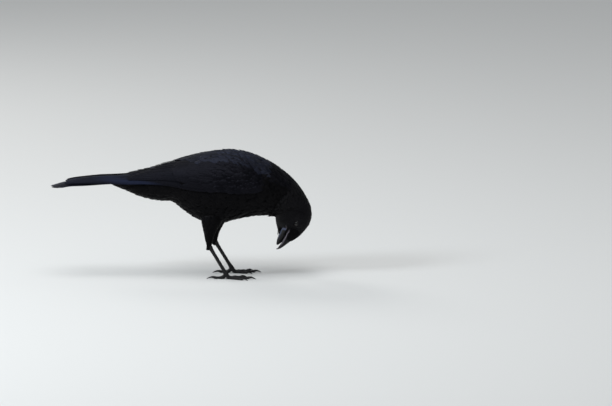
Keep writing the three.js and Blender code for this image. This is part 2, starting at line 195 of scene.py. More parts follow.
def skin_finish():
    p = Paint("dark_skin")
    pores = p.noise(p.place(), 900.0, 2.0)
    base = p.mix(pores, (0.003, 0.003, 0.0035), (0.008, 0.007, 0.008))
    return p.surface(base, pores * 0.2 + 0.55, pores, PORE_DEPTH, Specular_IOR_Level=0.12)


def horn_finish(name, dark, pale):
    """Horn, streaked along its growth, painted lighter where the mesh says, as painted highlights and
    painted sky reflections on the black horn.
    """
    p = Paint(name)
    grain = p.node("ShaderNodeUVMap", {"uv_map": "grain"})
    streak = p.noise(grain, 9.0, 4.0, 0.6)
    scuff = p.noise(p.place(), 420.0, 3.0, 0.6)
    worn = p.mix(scuff.ramp(0.45, 0.75, 0.0, 0.6), dark, tuple(2.2 * c for c in dark))
    # painted highlight: where the mesh holds it, the second colour stands in for light glinting on
    # the black horn
    base = p.mix(p.held("pale") * (streak * 0.7 + 0.55), worn, pale)
    rough = scuff * 0.22 + streak * 0.12 + 0.26
    return p.surface(base, rough, streak * 0.7 + scuff * 0.3, HORN_DEPTH, Specular_IOR_Level=0.18)


def leg_finish():
    """Dark scaly skin, with a crease round each small scale."""
    p = Paint("leg_scales")
    place = p.place()
    cells = p.node(
        "ShaderNodeTexVoronoi", {"feature": "DISTANCE_TO_EDGE"}, {"Vector": place, "Scale": 950.0}
    )
    scuff = p.noise(place, 260.0, 3.0)
    base = p.mix(scuff, (0.004, 0.004, 0.0045), (0.013, 0.012, 0.013))
    relief = cells.ramp(0.0, 0.12) * 0.7 + scuff * 0.3
    return p.surface(base, scuff * 0.25 + 0.36, relief, SCALE_DEPTH, Specular_IOR_Level=0.25)


def eye_finish():
    """Pupil, iris and dark rim, by the distance in millimetres from the middle of the eye."""
    p = Paint("wet_eye")
    ring = p.held("ring")
    fleck = p.noise(p.place(), 1500.0, 3.0)
    iris = p.mix(fleck, (0.0018, 0.0012, 0.0010), (0.0050, 0.0032, 0.0024))
    pupil = p.mix(ring.ramp(2.15, 2.35), (0.0015, 0.0015, 0.002), iris)
    base = p.mix(ring.ramp(3.7, 4.1), pupil, (0.004, 0.0035, 0.0035))
    return p.surface(base, 0.06, Specular_IOR_Level=0.42)


BLUE = (0.58, 0.66, 1.0)
VIOLET = (0.70, 0.72, 1.0)
SOOT = (0.90, 0.88, 1.0)
# Name, dark and light colour, roughness, tint of the gloss, gloss, sheen, painted highlight colour
# far out.
FLIGHT = (0.0014, 0.0015, 0.0020), (0.0044, 0.0044, 0.0060), 0.46, VIOLET, 0.078, 0.0
PLUMAGE = {
    # painted sheen: the back's glossy top is coloured lighter and bluer for the sky light on it
    "mantle": (
        "mantle_gloss", (0.0018, 0.0020, 0.0034), (0.0088, 0.0100, 0.0175), 0.46, BLUE, 0.32, 0.018,
    ),
    "soot": (
        "sooty_plumage", (0.0010, 0.0010, 0.0011), (0.0030, 0.0028, 0.0030), 0.60, SOOT, 0.060, 0.0,
    ),
    "face": (
        "face_plumage", (0.0011, 0.0011, 0.0013), (0.0038, 0.0036, 0.0042), 0.50, SOOT, 0.12, 0.002,
    ),
    "wing": (
        "wing_gloss", (0.0015, 0.0015, 0.0019), (0.0044, 0.0042, 0.0054), 0.46, VIOLET, 0.092, 0.0,
    ),
    "flight": ("flight_gloss", *FLIGHT),
    # painted highlight: the blue far out on the primaries stands in for light glinting on them past
    # the secondaries
    "primary": ("primary_gloss", *FLIGHT, (0.0105, 0.0142, 0.0310)),
    # painted sheen: the shoulder's colour is lighter and bluer for the sky light on it, between back
    # and wing
    "shoulder": (
        "shoulder_gloss", (0.0016, 0.0017, 0.0026), (0.0066, 0.0070, 0.0116), 0.46, BLUE, 0.20, 0.010,
    ),
    # painted sheen: the tail's colour is lighter and bluer than the wing's, for the sky light on its
    # glossy top
    "tail": (
        "tail_gloss", (0.0018, 0.0021, 0.0038), (0.0078, 0.0088, 0.0158), 0.50, BLUE, 0.13, 0.0,
    ),
}
FINISH = {
    **{name: feather_finish(*values) for name, values in PLUMAGE.items()},
    "skin": skin_finish(),
    # The bills' second colours are painted light: a pinkish highlight on the upper horn, a bluish sky
    # reflection on the lower.
    "bill_upper": horn_finish("upper_horn", (0.0032, 0.0032, 0.0040), (0.24, 0.215, 0.25)),
    "bill_lower": horn_finish("lower_horn", (0.0125, 0.0125, 0.0135), (0.13, 0.155, 0.26)),
    "claw": horn_finish("claw_horn", (0.008, 0.008, 0.008), (0.04, 0.035, 0.035)),
    "leg": leg_finish(),
    "eye": eye_finish(),
}


# ---------------------------------------------------------------- pieces from arrays
def facing_out(points, faces):
    """The faces, all turned round if together they point inwards."""
    volume = 0.0
    for f in faces:
        corner = points[f]
        for k in range(1, f.shape[1] - 1):
            volume += np.einsum("ij,ij->", corner[:, 0], np.cross(corner[:, k], corner[:, k + 1]))
    return [f[:, ::-1] for f in faces] if volume < 0 else faces


def mesh_of(name, points, faces):
    """A smooth mesh from points in metres, and the corners of its faces in one row."""
    mesh = bpy.data.meshes.new(name)
    mesh.vertices.add(len(points))
    mesh.vertices.foreach_set("co", points.astype(np.float32).ravel())
    loops = np.concatenate([f.ravel() for f in faces]).astype(np.int32)
    sizes = np.concatenate([np.full(len(f), f.shape[1]) for f in faces])
    starts = np.concatenate([[0], np.cumsum(sizes)[:-1]]).astype(np.int32)
    mesh.loops.add(len(loops))
    mesh.loops.foreach_set("vertex_index", loops)
    mesh.polygons.add(len(sizes))
    mesh.polygons.foreach_set("loop_start", starts)
    mesh.update(calc_edges=True)
    mesh.polygons.foreach_set("use_smooth", np.ones(len(sizes), bool))
    return mesh, loops


def crease(mesh, points):
    """Makes the edges sharp that join two of the marked points."""
    edges = np.empty(len(mesh.edges) * 2, np.int32)
    mesh.edges.foreach_get("vertices", edges)
    ends = points[edges.reshape(-1, 2)]
    mesh.attributes.new("sharp_edge", "BOOLEAN", "EDGE")
    mesh.attributes["sharp_edge"].data.foreach_set("value", ends.all(axis=1))


def piece(name, points, faces, finish, replaces=(), uvs=None, values=None, sharp=None):
    """A piece from points in millimetres and a list of face arrays, of quads or triangles. uvs
    and values hold a map or a number for each point, and sharp marks the points of a rim."""
    points = metres(points)
    mesh, loops = mesh_of(name, points, facing_out(points, faces))
    for label, uv in (uvs or {}).items():
        layer = mesh.uv_layers.new(name=label)
        layer.data.foreach_set("uv", uv[loops].astype(np.float32).ravel())
    for label, value in (values or {}).items():
        mesh.attributes.new(label, "FLOAT", "POINT")
        mesh.attributes[label].data.foreach_set("value", value.astype(np.float32))
    if sharp is not None:
        crease(mesh, sharp)
    mesh.validate()
    mesh.materials.append(FINISH[finish])
    made = add_object(name, mesh)
    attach(made, "root")
    if replaces:
        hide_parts(*replaces)
    return made


def smooth(x, a, b):
    """A soft step from 0 at a to 1 at b."""
    f = np.clip((x - a) / (b - a), 0, 1)
    return f * f * (3 - 2 * f)


def lerp(a, b, f):
    return a + (b - a) * f


def unit(v):
    return v / np.linalg.norm(v)


def along_rows(rows, t):
    """A smooth curve through rows of numbers, read at row index t."""
    last = len(rows) - 1
    i = np.clip(np.floor(t).astype(int), 0, last - 1)
    f = (t - i)[..., None]
    a, b = rows[np.clip(i - 1, 0, last)], rows[i]
    c, d = rows[i + 1], rows[np.clip(i + 2, 0, last)]
    leave, enter = (c - a) / 2, (d - b) / 2
    curve = 2 * b - 2 * c + leave + enter
    bend = -3 * b + 3 * c - 2 * leave - enter
    return ((curve * f + bend) * f + leave) * f + b


def rows_at(rows, x):
    """The same curve, read by its first column, which falls all the way."""
    i = np.clip(np.searchsorted(-rows[:, 0], -x, side="right") - 1, 0, len(rows) - 2)
    f = (x - rows[i, 0]) / (rows[i + 1, 0] - rows[i, 0])
    return along_rows(rows, i + np.clip(f, 0, 1))


class Sheet:
    """A smooth surface read at (u, v). Feathers lie on it and point towards falling u."""

    def __init__(self, point, step_u, step_v, outward=1, unwrap=None):
        self.point = point
        self.step_u = step_u
        self.step_v = step_v
        self.outward = outward
        self.unwrap = unwrap

    def at(self, u, v):
        """Point, outward normal, and millimetres for each unit of u and of v."""
        du, dv = self.step_u, self.step_v
        pu = (self.point(u + du, v) - self.point(u - du, v)) / (2 * du)
        pv = (self.point(u, v + dv) - self.point(u, v - dv)) / (2 * dv)
        normal = np.cross(pu, pv) * self.outward
        normal /= np.maximum(np.linalg.norm(normal, axis=-1, keepdims=True), 1e-9)
        wide_u = np.maximum(np.linalg.norm(pu, axis=-1), 1e-3)
        wide_v = np.maximum(np.linalg.norm(pv, axis=-1), 1e-3)
        return self.point(u, v), normal, wide_u, wide_v


def on_map(across, up):
    """A place on the bake map, from shares of its width and height inside a margin."""
    return np.stack([0.04 + 0.92 * across, 0.04 + 0.92 * up], -1)


# ---------------------------------------------------------------- head frame
PITCH, ROLL, TWIST = (math.radians(d) for d in (126.7, 6.0, -30.3))
HEAD = np.array([134.3, 0.0, 83.9])  # between the eyes
FORWARD = np.array([math.cos(PITCH), 0, -math.sin(PITCH)])
UP = np.array([math.sin(PITCH), 0, math.cos(PITCH)])
HEAD_TURN = Quaternion((0, 0, 1), TWIST) @ Quaternion(Vector(FORWARD), ROLL)
TURN_AXIS, TURN_ANGLE = HEAD_TURN.to_axis_angle()
TURN_AXIS = np.array(TURN_AXIS)
EYE = {"forward": 1.6, "up": -0.3, "side": 9.7, "radius": 6.2}
LID_OUT = 5.6  # from the middle of an eyeball to the middle of its opening


def turned(points, share):
    """Points carried round by a share of the head's turn."""
    p = points - HEAD
    angle = (share * TURN_ANGLE)[..., None]
    along = (p @ TURN_AXIS)[..., None] * TURN_AXIS
    return along + (p - along) * np.cos(angle) + np.cross(TURN_AXIS, p) * np.sin(angle) + HEAD


def turned_back(p):
    """The place of p with the head's whole turn taken back."""
    q = p - HEAD
    along = (q @ TURN_AXIS)[..., None] * TURN_AXIS
    back = np.cross(TURN_AXIS, q)
    return along + (q - along) * math.cos(TURN_ANGLE) - back * math.sin(TURN_ANGLE) + HEAD


def head_point(forward, up, side):
    """A place from the middle of the head, in the head's own directions."""
    forward, up, side = np.broadcast_arrays(*(np.asarray(a, float) for a in (forward, up, side)))
    p = HEAD + forward[..., None] * FORWARD + up[..., None] * UP
    p = p + side[..., None] * np.array([0, 1.0, 0])
    return turned(p, np.ones(p.shape[:-1]))


# ---------------------------------------------------------------- body surface
def in_head(top_forward, top_up, chin_forward, chin_up, half):
    """A row of the body, given in the head's own forward and up."""
    top = HEAD + FORWARD * top_forward + UP * top_up
    chin = HEAD + FORWARD * chin_forward + UP * chin_up
    return [top[0], top[2], chin[0], chin[2], half, 1.0]


# Back x and z, belly x and z, half width, share of the head's turn.
BODY_ROWS = np.array([
    [-139, 160, -153, 140.5, 15, 0],
    [-122, 165.2, -133, 132, 20, 0],
    [-104, 168.8, -109, 122.3, 23.5, 0],
    [-82, 172.8, -84, 118.3, 27.5, 0],
    [-58, 178.8, -65, 116.5, 32, 0],
    [-34, 187.8, -46, 101.5, 37, 0],
    [-8, 194.8, -22, 87.5, 41.5, 0],
    [20, 198.3, 4, 82.6, 44.5, 0],
    [46, 195.2, 32, 89, 45, 0],
    [70, 186.8, 60, 94.2, 43, 0],
    [91, 175.6, 76.6, 94, 39.5, 0],
    [109, 162.3, 84.2, 92.6, 35.5, 0.03],
    [123.3, 148.2, 86.2, 92, 31.8, 0.12],
    [134.2, 132.6, 87.4, 91.2, 28.8, 0.32],
    [142.6, 117, 88.6, 90.4, 26.4, 0.62],
    in_head(-25, -4, 20.8, -44.4, 24),
    in_head(-16.5, 5.4, 25, -40.8, 21.2),
    in_head(-5, 10.2, 30, -36.8, 18.0),
    in_head(7, 11, 34.8, -33, 11.6),
    in_head(18, 9.6, 38.8, -28.2, 6.6),
    in_head(28, 6.8, 41.4, -24.4, 3.0),
], float)
LAST_ROW = len(BODY_ROWS) - 1


def body_on_row(t, angle):
    """The body at row t, angle round from the middle of the back."""
    row = along_rows(BODY_ROWS, t)
    zero = np.zeros_like(row[..., 0])
    back = np.stack([row[..., 0], zero, row[..., 1]], -1)
    belly = np.stack([row[..., 2], zero, row[..., 3]], -1)
    p = (back + belly) / 2 + (back - belly) / 2 * np.cos(angle)[..., None]
    p[..., 1] = row[..., 4] * np.sin(angle)
    return turned(p, np.clip(row[..., 5], 0, 1))


def body_point(t, angle):
    """Past either end the surface runs on straight."""
    t, angle = np.broadcast_arrays(np.asarray(t, float), np.asarray(angle, float))
    inside = np.clip(t, 0, LAST_ROW)
    p = body_on_row(inside, angle)
    over = t - inside
    if np.any(over != 0):
        near = np.clip(inside + np.where(over < 0, 0.05, -0.05), 0, LAST_ROW)
        slope = (body_on_row(near, angle) - p) / (near - inside + (near == inside))[..., None]
        p = p + slope * over[..., None]
    return p


def body_on_map(t, angle):
    return on_map((t + 1) / (LAST_ROW + 2), (angle / TURN) % 1)


BODY = Sheet(body_point, 0.02, 0.01, unwrap=body_on_map)


# ---------------------------------------------------------------- vanes
def vane_grid(rows, columns):
    """A closed thin leaf: s runs from root to tip, c from edge to edge, k is +1 on the upper
    side, -1 on the lower side and 0 round the rim, where the two sides meet."""
    s, c = np.meshgrid(np.linspace(0, 1, rows + 1), np.linspace(-1, 1, columns + 1), indexing="ij")
    index = np.arange(s.size).reshape(s.shape)
    inner = np.zeros(s.shape, bool)
    inner[1:-1, 1:-1] = True
    under = index.copy()
    under[inner] = s.size + np.arange(inner.sum())
    quads = []
    for sheet, back in ((index, False), (under, True)):
        quad = np.stack([sheet[:-1, :-1], sheet[:-1, 1:], sheet[1:, 1:], sheet[1:, :-1]], -1)
        quad = quad.reshape(-1, 4)
        quads.append(quad[:, ::-1] if back else quad)
    k = np.concatenate([np.where(inner, 1.0, 0.0).ravel(), -np.ones(inner.sum())])
    return {
        "s": np.concatenate([s.ravel(), s[inner]]),
        "c": np.concatenate([c.ravel(), c[inner]]),
        "k": k,
        "rim": k == 0,
        "inner": inner,
        "quads": np.concatenate(quads),
    }


GRID_NARROW = vane_grid(6, 2)
GRID_SMALL = vane_grid(4, 4)
GRID_BODY = vane_grid(5, 6)
GRID_COVERT = vane_grid(8, 6)
GRID_FLIGHT = vane_grid(24, 10)
GRID_ARM = vane_grid(40, 24)


def between_nodes(line, s):
    """Values along each feather's middle line, read at s (one row of s for each feather)."""
    last = line.shape[1] - 1
    x = np.clip(s, 0, 1) * last
    i = np.minimum(x.astype(int), last - 1)
    f = x - i
    n = np.arange(len(line))[:, None]
    return line[n, i] * (1 - f) + line[n, i + 1] * f


class Coat:
    """Gathers vanes laid on sheets, and turns them into one piece."""

    def __init__(self, seed):
        self.rng = np.random.default_rng(seed)
        self.parts = []
        self.count = 0

    def lay(
        self, sheet, line_u, line_v, half, root, tip, grid, rise=0.8, blunt=0.75, waist=0.45,
        lead=1.0, trail=1.0, camber=0.10, thick=0.28, ragged=0.0, cells=None, shaft=0.0,
        level=None, tilt=0.0,
    ):
        """Vanes on a sheet. line_u and line_v hold each one's middle line, from its root.

        half: half its width, and lead and trail scale its two sides
        root, tip, rise: heights of its ends above the sheet, and how early it rises, or level
        waist, blunt, ragged: width at the root, roundness and wear of the tip
        camber, tilt, shaft, thick: how it is bowed, tilted, ridged and how thick it is
        cells: its place on the bake map, where it isn't the sheet's own
        """
        n, rng = len(line_u), self.rng
        s0, c, k = grid["s"][None], grid["c"][None], grid["k"][None]
        half, root, tip, thick = (
            np.broadcast_to(np.asarray(a, float), (n,))[:, None] for a in (half, root, tip, thick)
        )
        p, _, wide_u, wide_v = sheet.at(line_u, line_v)
        length = np.linalg.norm(np.diff(p, axis=1), axis=2).sum(1)[:, None]

        # how far along, and how far to the side
        side = np.where(c > 0, lead, trail)
        drop = np.minimum(blunt * half * np.abs(side) / length, 0.45)
        s = s0 - drop * np.abs(c) ** 2.2 * s0 ** 4
        if ragged:
            jag = rng.uniform(-1, 1, (n, s0.size)) * ragged * (s0 > 0.99)
            s = np.clip(s * (1 - np.abs(jag)), 0, 1)
        swell = waist + (1 - waist) * np.sin(np.clip(s0 / 0.5, 0, 1) * math.pi / 2)
        width = swell * (1 - 0.42 * smooth(s0, 0.72, 1.0))
        w = c * side * half * width

        # on the sheet, square to the middle line
        du = np.gradient(line_u, axis=1) * wide_u
        dv = np.gradient(line_v, axis=1) * wide_v
        size = np.maximum(np.hypot(du, dv), 1e-9)
        u = between_nodes(line_u, s) + w * between_nodes(dv / size, s) / between_nodes(wide_u, s)
        v = between_nodes(line_v, s) - w * between_nodes(du / size, s) / between_nodes(wide_v, s)
        place, normal, _, _ = sheet.at(u, v)

        # above the sheet
        spine = root + (tip - root) * s ** rise if level is None else between_nodes(level, s)
        height = spine - camber * half * np.abs(c) ** 2 + tilt * w
        ridge = shaft * np.exp(-((c / 0.16) ** 2)) * (1 - 0.7 * s) * (k >= 0)
        height = height + k * thick * (1 - 0.6 * s) / 2 + ridge
        points = (place + normal * height[..., None]).reshape(-1, 3)

        tone = rng.uniform(0, 1, n)
        if cells is None:
            start = sheet.unwrap(line_u[:, 0], line_v[:, 0])
            patch = np.stack([c * width * 0.0015 + 0 * s, s * 0.003], -1)
        else:
            start, reach = cells
            across, along = 0.5 + 0.46 * c * width, 0.02 + 0.96 * s
            patch = np.stack([across * reach[0] + 0 * s, along * reach[1]], -1)
        offsets = self.count + np.arange(n) * s0.size
        self.parts.append((
            points,
            (grid["quads"][None] + offsets[:, None, None]).reshape(-1, 4),
            (start[:, None] + patch).reshape(-1, 2),
            np.stack([w * 0.01, s * length * 0.01 + 0 * w], -1).reshape(-1, 2),
            np.repeat(tone, s0.size),
            np.tile(grid["rim"], n),
        ))
        self.count += n * s0.size

    def finish(self, name, finish, slot, replaces=()):
        points, quads, bake, vane, tones, rim = (np.concatenate(c) for c in zip(*self.parts))
        return piece(
            name, points, [quads], finish, replaces,
            {"OFBake": bake, "vane": vane}, {"tone": tones}, sharp=rim,
        )


def march(sheet, u, v, heading, length, steps=5):
    """Middle lines that start at (u, v) and run back over the sheet."""
    line_u, line_v = [u], [v]
    for _ in range(steps):
        _, _, wide_u, wide_v = sheet.at(u, v)
        u = u - np.cos(heading) * length / steps / wide_u
        v = v + np.sin(heading) * length / steps / wide_v
        line_u.append(u)
        line_v.append(v)
    return np.stack(line_u, 1), np.stack(line_v, 1)


def crowded(place, cell, taken, gap):
    """True if a place in taken, which is kept by cells, lies within the gap."""
    x, y, z = place
    least = float(gap) ** 2
    for near in itertools.product(*((k - 1, k, k + 1) for k in cell)):
        for qx, qy, qz in taken.get(near, ()):
            if (x - qx) ** 2 + (y - qy) ** 2 + (z - qz) ** 2 < least:
                return True
    return False


def scatter(sheet, low_u, high_u, low_v, high_v, spacing, keep, rng, cells=(160, 128)):
    """Roots spread evenly over part of a sheet, spacing(u, v) millimetres apart, where
    keep(u, v, point) says so."""
    u = np.linspace(low_u, high_u, cells[0] + 1)
    v = np.linspace(low_v, high_v, cells[1] + 1)
    mid_u, mid_v = np.meshgrid((u[1:] + u[:-1]) / 2, (v[1:] + v[:-1]) / 2, indexing="ij")
    _, _, wide_u, wide_v = sheet.at(mid_u, mid_v)
    area = wide_u * wide_v * (u[1] - u[0]) * (v[1] - v[0])
    want = area / spacing(mid_u, mid_v) ** 2
    total = int(want.sum() * 5)
    pick = rng.choice(want.size, total, p=(want / want.sum()).ravel())
    try_u = mid_u.ravel()[pick] + rng.uniform(-0.5, 0.5, total) * (u[1] - u[0])
    try_v = mid_v.ravel()[pick] + rng.uniform(-0.5, 0.5, total) * (v[1] - v[0])
    gap = spacing(try_u, try_v) * 0.82
    point = sheet.point(try_u, try_v)
    cell = np.floor(point / gap.max()).astype(int).tolist()
    taken, chosen = {}, []
    for i in np.flatnonzero(keep(try_u, try_v, point)):
        place = point[i].tolist()
        if not crowded(place, cell[i], taken, gap[i]):
            taken.setdefault(tuple(cell[i]), []).append(place)
            chosen.append(i)
    return try_u[chosen], try_v[chosen]


# ---------------------------------------------------------------- wing surface
# x, top edge y and z, low edge y and z, bulge.
WING_ROWS = np.array([
    [90, 36.5, 154, 39.5, 144, 1],
    [82, 34.5, 163.5, 44, 134, 3.5],
    [66, 31, 176.5, 48, 129, 7],
    [42, 26, 187.5, 50.5, 127, 10],
    [14, 20, 192.5, 51, 127.3, 11.5],
    [-18, 14, 191, 48, 130, 12],
    [-50, 8, 185, 42.5, 135.5, 11],
    [-80, 4, 178.2, 36, 141.5, 9],
    [-105, 3, 171.8, 31, 144.5, 7],
    [-131, 3, 166, 27, 146, 5.5],
    [-165, 3, 161.2, 24, 147, 4.2],
    [-200, 2.5, 157.4, 20, 146.7, 3.2],
    [-218, 2.2, 155.4, 17.5, 146, 2.6],
    [-234, 2, 151.6, 14.5, 144.8, 2.2],
], float)


# x, and where the flank feathers come up over the wing: the share of its depth, and the height.
WING_EDGE = np.array([
    [-165, 0.965, 147.5],
    [-134, 0.959, 147.5],
    [-107.8, 0.915, 148.6],
    [-89.3, 0.889, 148.7],
    [-66.2, 0.893, 145.7],
    [-53.9, 0.905, 142.4],
    [-30.8, 0.897, 140.1],
    [-7.7, 0.875, 139.7],
    [15.4, 0.862, 139],
    [38.5, 0.863, 137.2],
    [53.9, 0.858, 136.9],
    [64.7, 0.833, 138.2],
    [77, 0.738, 142.4],
    [88, 0.60, 147],
], float)


def edge_share(x):
    return np.interp(x, WING_EDGE[:, 0], WING_EDGE[:, 1])


def edge_height(x):
    return np.interp(x, WING_EDGE[:, 0], WING_EDGE[:, 2])


def wing_top(x):
    """Height of the wing's top edge."""
    return rows_at(WING_ROWS, x)[..., 2]


def fullness(p):
    """How far the coat stands out to meet the wing, below it and in front of it."""
    x, z = p[..., 0], p[..., 2]
    wing_out = np.interp(x, [-160, -108, -54, 40, 65, 77, 90], [8, 6.4, 7.5, 7, 6, 4.5, 2.5])
    front = smooth(x, 62, 80)
    under = z - edge_height(x)
    over = z - wing_top(np.clip(x, -230, 90))
    share = smooth(under, -27, -3) * (1 - lerp(smooth(under, 6, 20), smooth(over, -8, 6), front))
    share = share * (1 - smooth(x, 84, 108)) * smooth(x, -125, -80)
    set_in = np.interp(x, [-60, -10, 50], [5.6, 4.4, 2.6])
    return (wing_out - set_in + 3.2 * front) * share


def wing_point(x, v, side):
    """The wing at x, v down from its top edge. Above that edge it lies flat over the back."""
    x, v = np.broadcast_arrays(np.asarray(x, float), np.asarray(v, float))
    _, top_y, top_z, low_y, low_z, bulge = np.moveaxis(rows_at(WING_ROWS, x), -1, 0)
    dy, dz = low_y - top_y, low_z - top_z
    chord = np.hypot(dy, dz)
    inside = np.clip(v, 0, 1)
    rise = bulge * 4 * inside * (1 - inside)
    over = np.minimum(v, 0) * chord
    climb = np.interp(x, [-60, -18, 14, 70], [0.0, 0.14, 0.27, 0.37])
    v = np.maximum(v, 0)
    y = top_y + dy * v - dz / chord * rise + over
    z = top_z + dz * v + dy / chord * rise - over * climb
    return np.stack([x, side * y, z], -1)


def wing_chord(x):
    """Depth of the wing at x, straight from its top edge to its low edge."""
    row = rows_at(WING_ROWS, np.atleast_1d(np.asarray(x, float)))
    return np.hypot(row[:, 3] - row[:, 1], row[:, 4] - row[:, 2])


def wing_on_map(x, v):
    return on_map((95 - x) / 340, np.clip(v + 0.1, 0, 1.2) / 1.2)


def wing_sheet(side):
    return Sheet(
        lambda x, v: wing_point(x, v, side), 0.5, 0.005, outward=side, unwrap=wing_on_map
    )


# ---------------------------------------------------------------- limbs
def limb_rings(rows, corners, shape=None):
    """Rings round a limb whose rows are x, y, z, half length fore and aft, half width. shape
    is added to both halves, for each ring and corner."""
    middle = rows[:, :3]
    along = np.gradient(middle, axis=0)
    along /= np.linalg.norm(along, axis=1, keepdims=True)
    upright = np.abs(along[:, 2:3]) > 0.7
    across = np.where(upright, np.array([[0, 1.0, 0]]), np.cross(along, np.array([0, 0, 1.0])))
    across = across - along * (across * along).sum(1, keepdims=True)
    across /= np.linalg.norm(across, axis=1, keepdims=True)
    front = np.cross(across, along)
    angle = np.arange(corners) / corners * TURN
    grow = np.zeros((len(rows), corners)) if shape is None else shape
    fore = (rows[:, 3, None] + grow)[..., None] * np.cos(angle)[None, :, None]
    wide = (rows[:, 4, None] + grow)[..., None] * np.sin(angle)[None, :, None]
    return middle[:, None] + front[:, None] * fore + across[:, None] * wide


def tube(rings):
    """Points and faces of a closed skin over rings with the same number of corners."""
    count, corners = rings.shape[:2]
    index = np.arange(count * corners).reshape(count, corners)
    follow = np.roll(index, -1, axis=1)
    quads = np.stack([index[:-1], follow[:-1], follow[1:], index[1:]], -1).reshape(-1, 4)
    ends = np.stack([rings[0].mean(0), rings[-1].mean(0)])
    total = count * corners
    first = np.stack([follow[0], index[0], np.full(corners, total)], -1)
    last = np.stack([index[-1], follow[-1], np.full(corners, total + 1)], -1)
    points = np.concatenate([rings.reshape(-1, 3), ends])
    return points, quads, np.concatenate([first, last])


def ring_ends(values):
    """A value for each point of a tube: those of its rings, and those of its two ends."""
    flat = values.reshape(-1, *values.shape[2:])
    return np.concatenate([flat, values[0, :1], values[-1, :1]])


def wrapped(rings):
    """A map round and along a limb."""
    steps = np.linalg.norm(np.diff(rings.mean(1), axis=0), axis=1)
    length = np.concatenate([[0], np.cumsum(steps)])[:, None]
    around = np.arange(rings.shape[1])[None] / rings.shape[1]
    return np.stack(np.broadcast_arrays(around * 3, length * 0.03), -1)


class Shells:
    """Several closed skins gathered into one piece."""

    def __init__(self):
        self.points, self.quads, self.tris, self.uv, self.values = [], [], [], [], {}
        self.count = 0

    def add(self, rings, uv=None, **values):
        points, quads, tris = tube(rings)
        self.points.append(points)
        self.quads.append(quads + self.count)
        self.tris.append(tris + self.count)
        self.uv.append(ring_ends(wrapped(rings) if uv is None else uv))
        for label, value in values.items():
            value = np.broadcast_to(value, rings.shape[:2])
            self.values.setdefault(label, []).append(ring_ends(value))
        self.count += len(points)

    def finish(self, name, finish, slot, replaces=()):
        return piece(
            name, np.concatenate(self.points),
            [np.concatenate(self.quads), np.concatenate(self.tris)], finish, replaces,
            {"grain": np.concatenate(self.uv)},
            {label: np.concatenate(parts) for label, parts in self.values.items()},
        )


def fine_rows(rows, count):
    rows = np.asarray(rows, float)
    return along_rows(rows, np.linspace(0, 1, count) * (len(rows) - 1))


# ---------------------------------------------------------------- legs and feet
FEET = {
    "left": {"hip": [5, 19.5, 103], "heel": [-1, 22, 51], "ankle": [25, 25, 7.5]},
    "right": {"hip": [-3, -19.5, 103], "heel": [-9, -22, 51], "ankle": [17, -25, 7.5]},
}
TOE_OUT = 4  # degrees by which each foot is turned out
# Length and half thickness of a toe, its angle to the foot, length of its claw, and its joints.
TOES = {
    "inner": {"length": 25, "thick": 2.7, "turn": -24, "claw": 9.5, "joints": 2},
    "middle": {"length": 35, "thick": 2.9, "turn": 0, "claw": 11, "joints": 3},
    "outer": {"length": 28, "thick": 2.6, "turn": 22, "claw": 9.5, "joints": 3},
    "hallux": {"length": 17, "thick": 2.9, "turn": 176, "claw": 13, "joints": 1},
}
FLAT = 0.45  # how far a toe's round underside is pressed flat on the ground
# Share of the way from hip to heel, set back, half length fore and aft, half width.
THIGH_ROWS = [
    [0, 0, 17, 12], [0.16, 0.2, 17.4, 12.8], [0.32, 0.7, 15.2, 12], [0.46, 1.2, 12, 10.4],
    [0.6, 1.5, 9.2, 8.4], [0.76, 1.5, 6.6, 6.2], [0.92, 0.6, 4.6, 4.4], [1, 0, 3.5, 3.4],
]


def thigh_rows(foot):
    hip, heel = np.array(foot["hip"], float), np.array(foot["heel"], float)
    rows = []
    for share, back, fore, wide in THIGH_ROWS[::-1]:
        rows.append([*(lerp(hip, heel, share) - [back, 0, 0]), fore, wide])
    return np.array(rows)


def thigh_sheet(foot):
    """u runs up from the heel, by row, and v round from the front."""
    rows = thigh_rows(foot)
    axis = unit(np.array(foot["hip"], float) - np.array(foot["heel"], float))
    across = unit(np.array([0, 1.0, 0]) - axis * axis[1])
    front = np.cross(across, axis)

    def point(u, angle):
        u, angle = np.broadcast_arrays(np.asarray(u, float), np.asarray(angle, float))
        over = np.minimum(u, 0)
        row = along_rows(rows, np.clip(u, 0, len(rows) - 1))
        p = row[..., :3] + front * (row[..., 3] * np.cos(angle))[..., None]
        return p + across * (row[..., 4] * np.sin(angle))[..., None] + axis * over[..., None] * 6

    def unwrap(u, angle):
        return on_map((u + 0.5) / 8, (angle / TURN) % 1)

    return Sheet(point, 0.02, 0.01, outward=-1, unwrap=unwrap)


# ---------------------------------------------------------------- coat of the body
# Row, length and half width of a feather on the back, the same on the belly, depth of the coat.
COAT = np.array([
    [0, 28, 7.0, 20, 6.2, 3.0],
    [3, 26, 7.0, 25, 6.8, 3.4],
    [6, 23, 6.8, 26, 7.0, 3.6],
    [9, 19, 5.6, 21, 5.8, 3.4],
    [12, 14, 4.0, 11, 3.6, 2.6],
    [15, 9, 2.3, 7.5, 2.2, 1.7],
    [17, 6.5, 1.45, 7.5, 1.45, 1.2],
    [19, 4.6, 1.0, 5, 1.0, 0.8],
    [20, 3.6, 0.85, 3.6, 0.85, 0.6],
])


def eye_place(side):
    """The middle of an eyeball, and the way it looks."""
    centre = head_point(EYE["forward"], EYE["up"], side * EYE["side"])
    return centre, head_point(EYE["forward"], EYE["up"], side * (EYE["side"] + 1)) - centre


EYES = {name: eye_place(side) for name, side in SIDES.items()}


def coat_at(t, angle):
    """Length, half width and depth of the coat at a place on the body."""
    values = [np.interp(t, COAT[:, 0], COAT[:, k]) for k in range(1, 6)]
    back = smooth(np.cos(angle), -0.7, 0.7)
    return lerp(values[2], values[0], back), lerp(values[3], values[1], back), values[4]


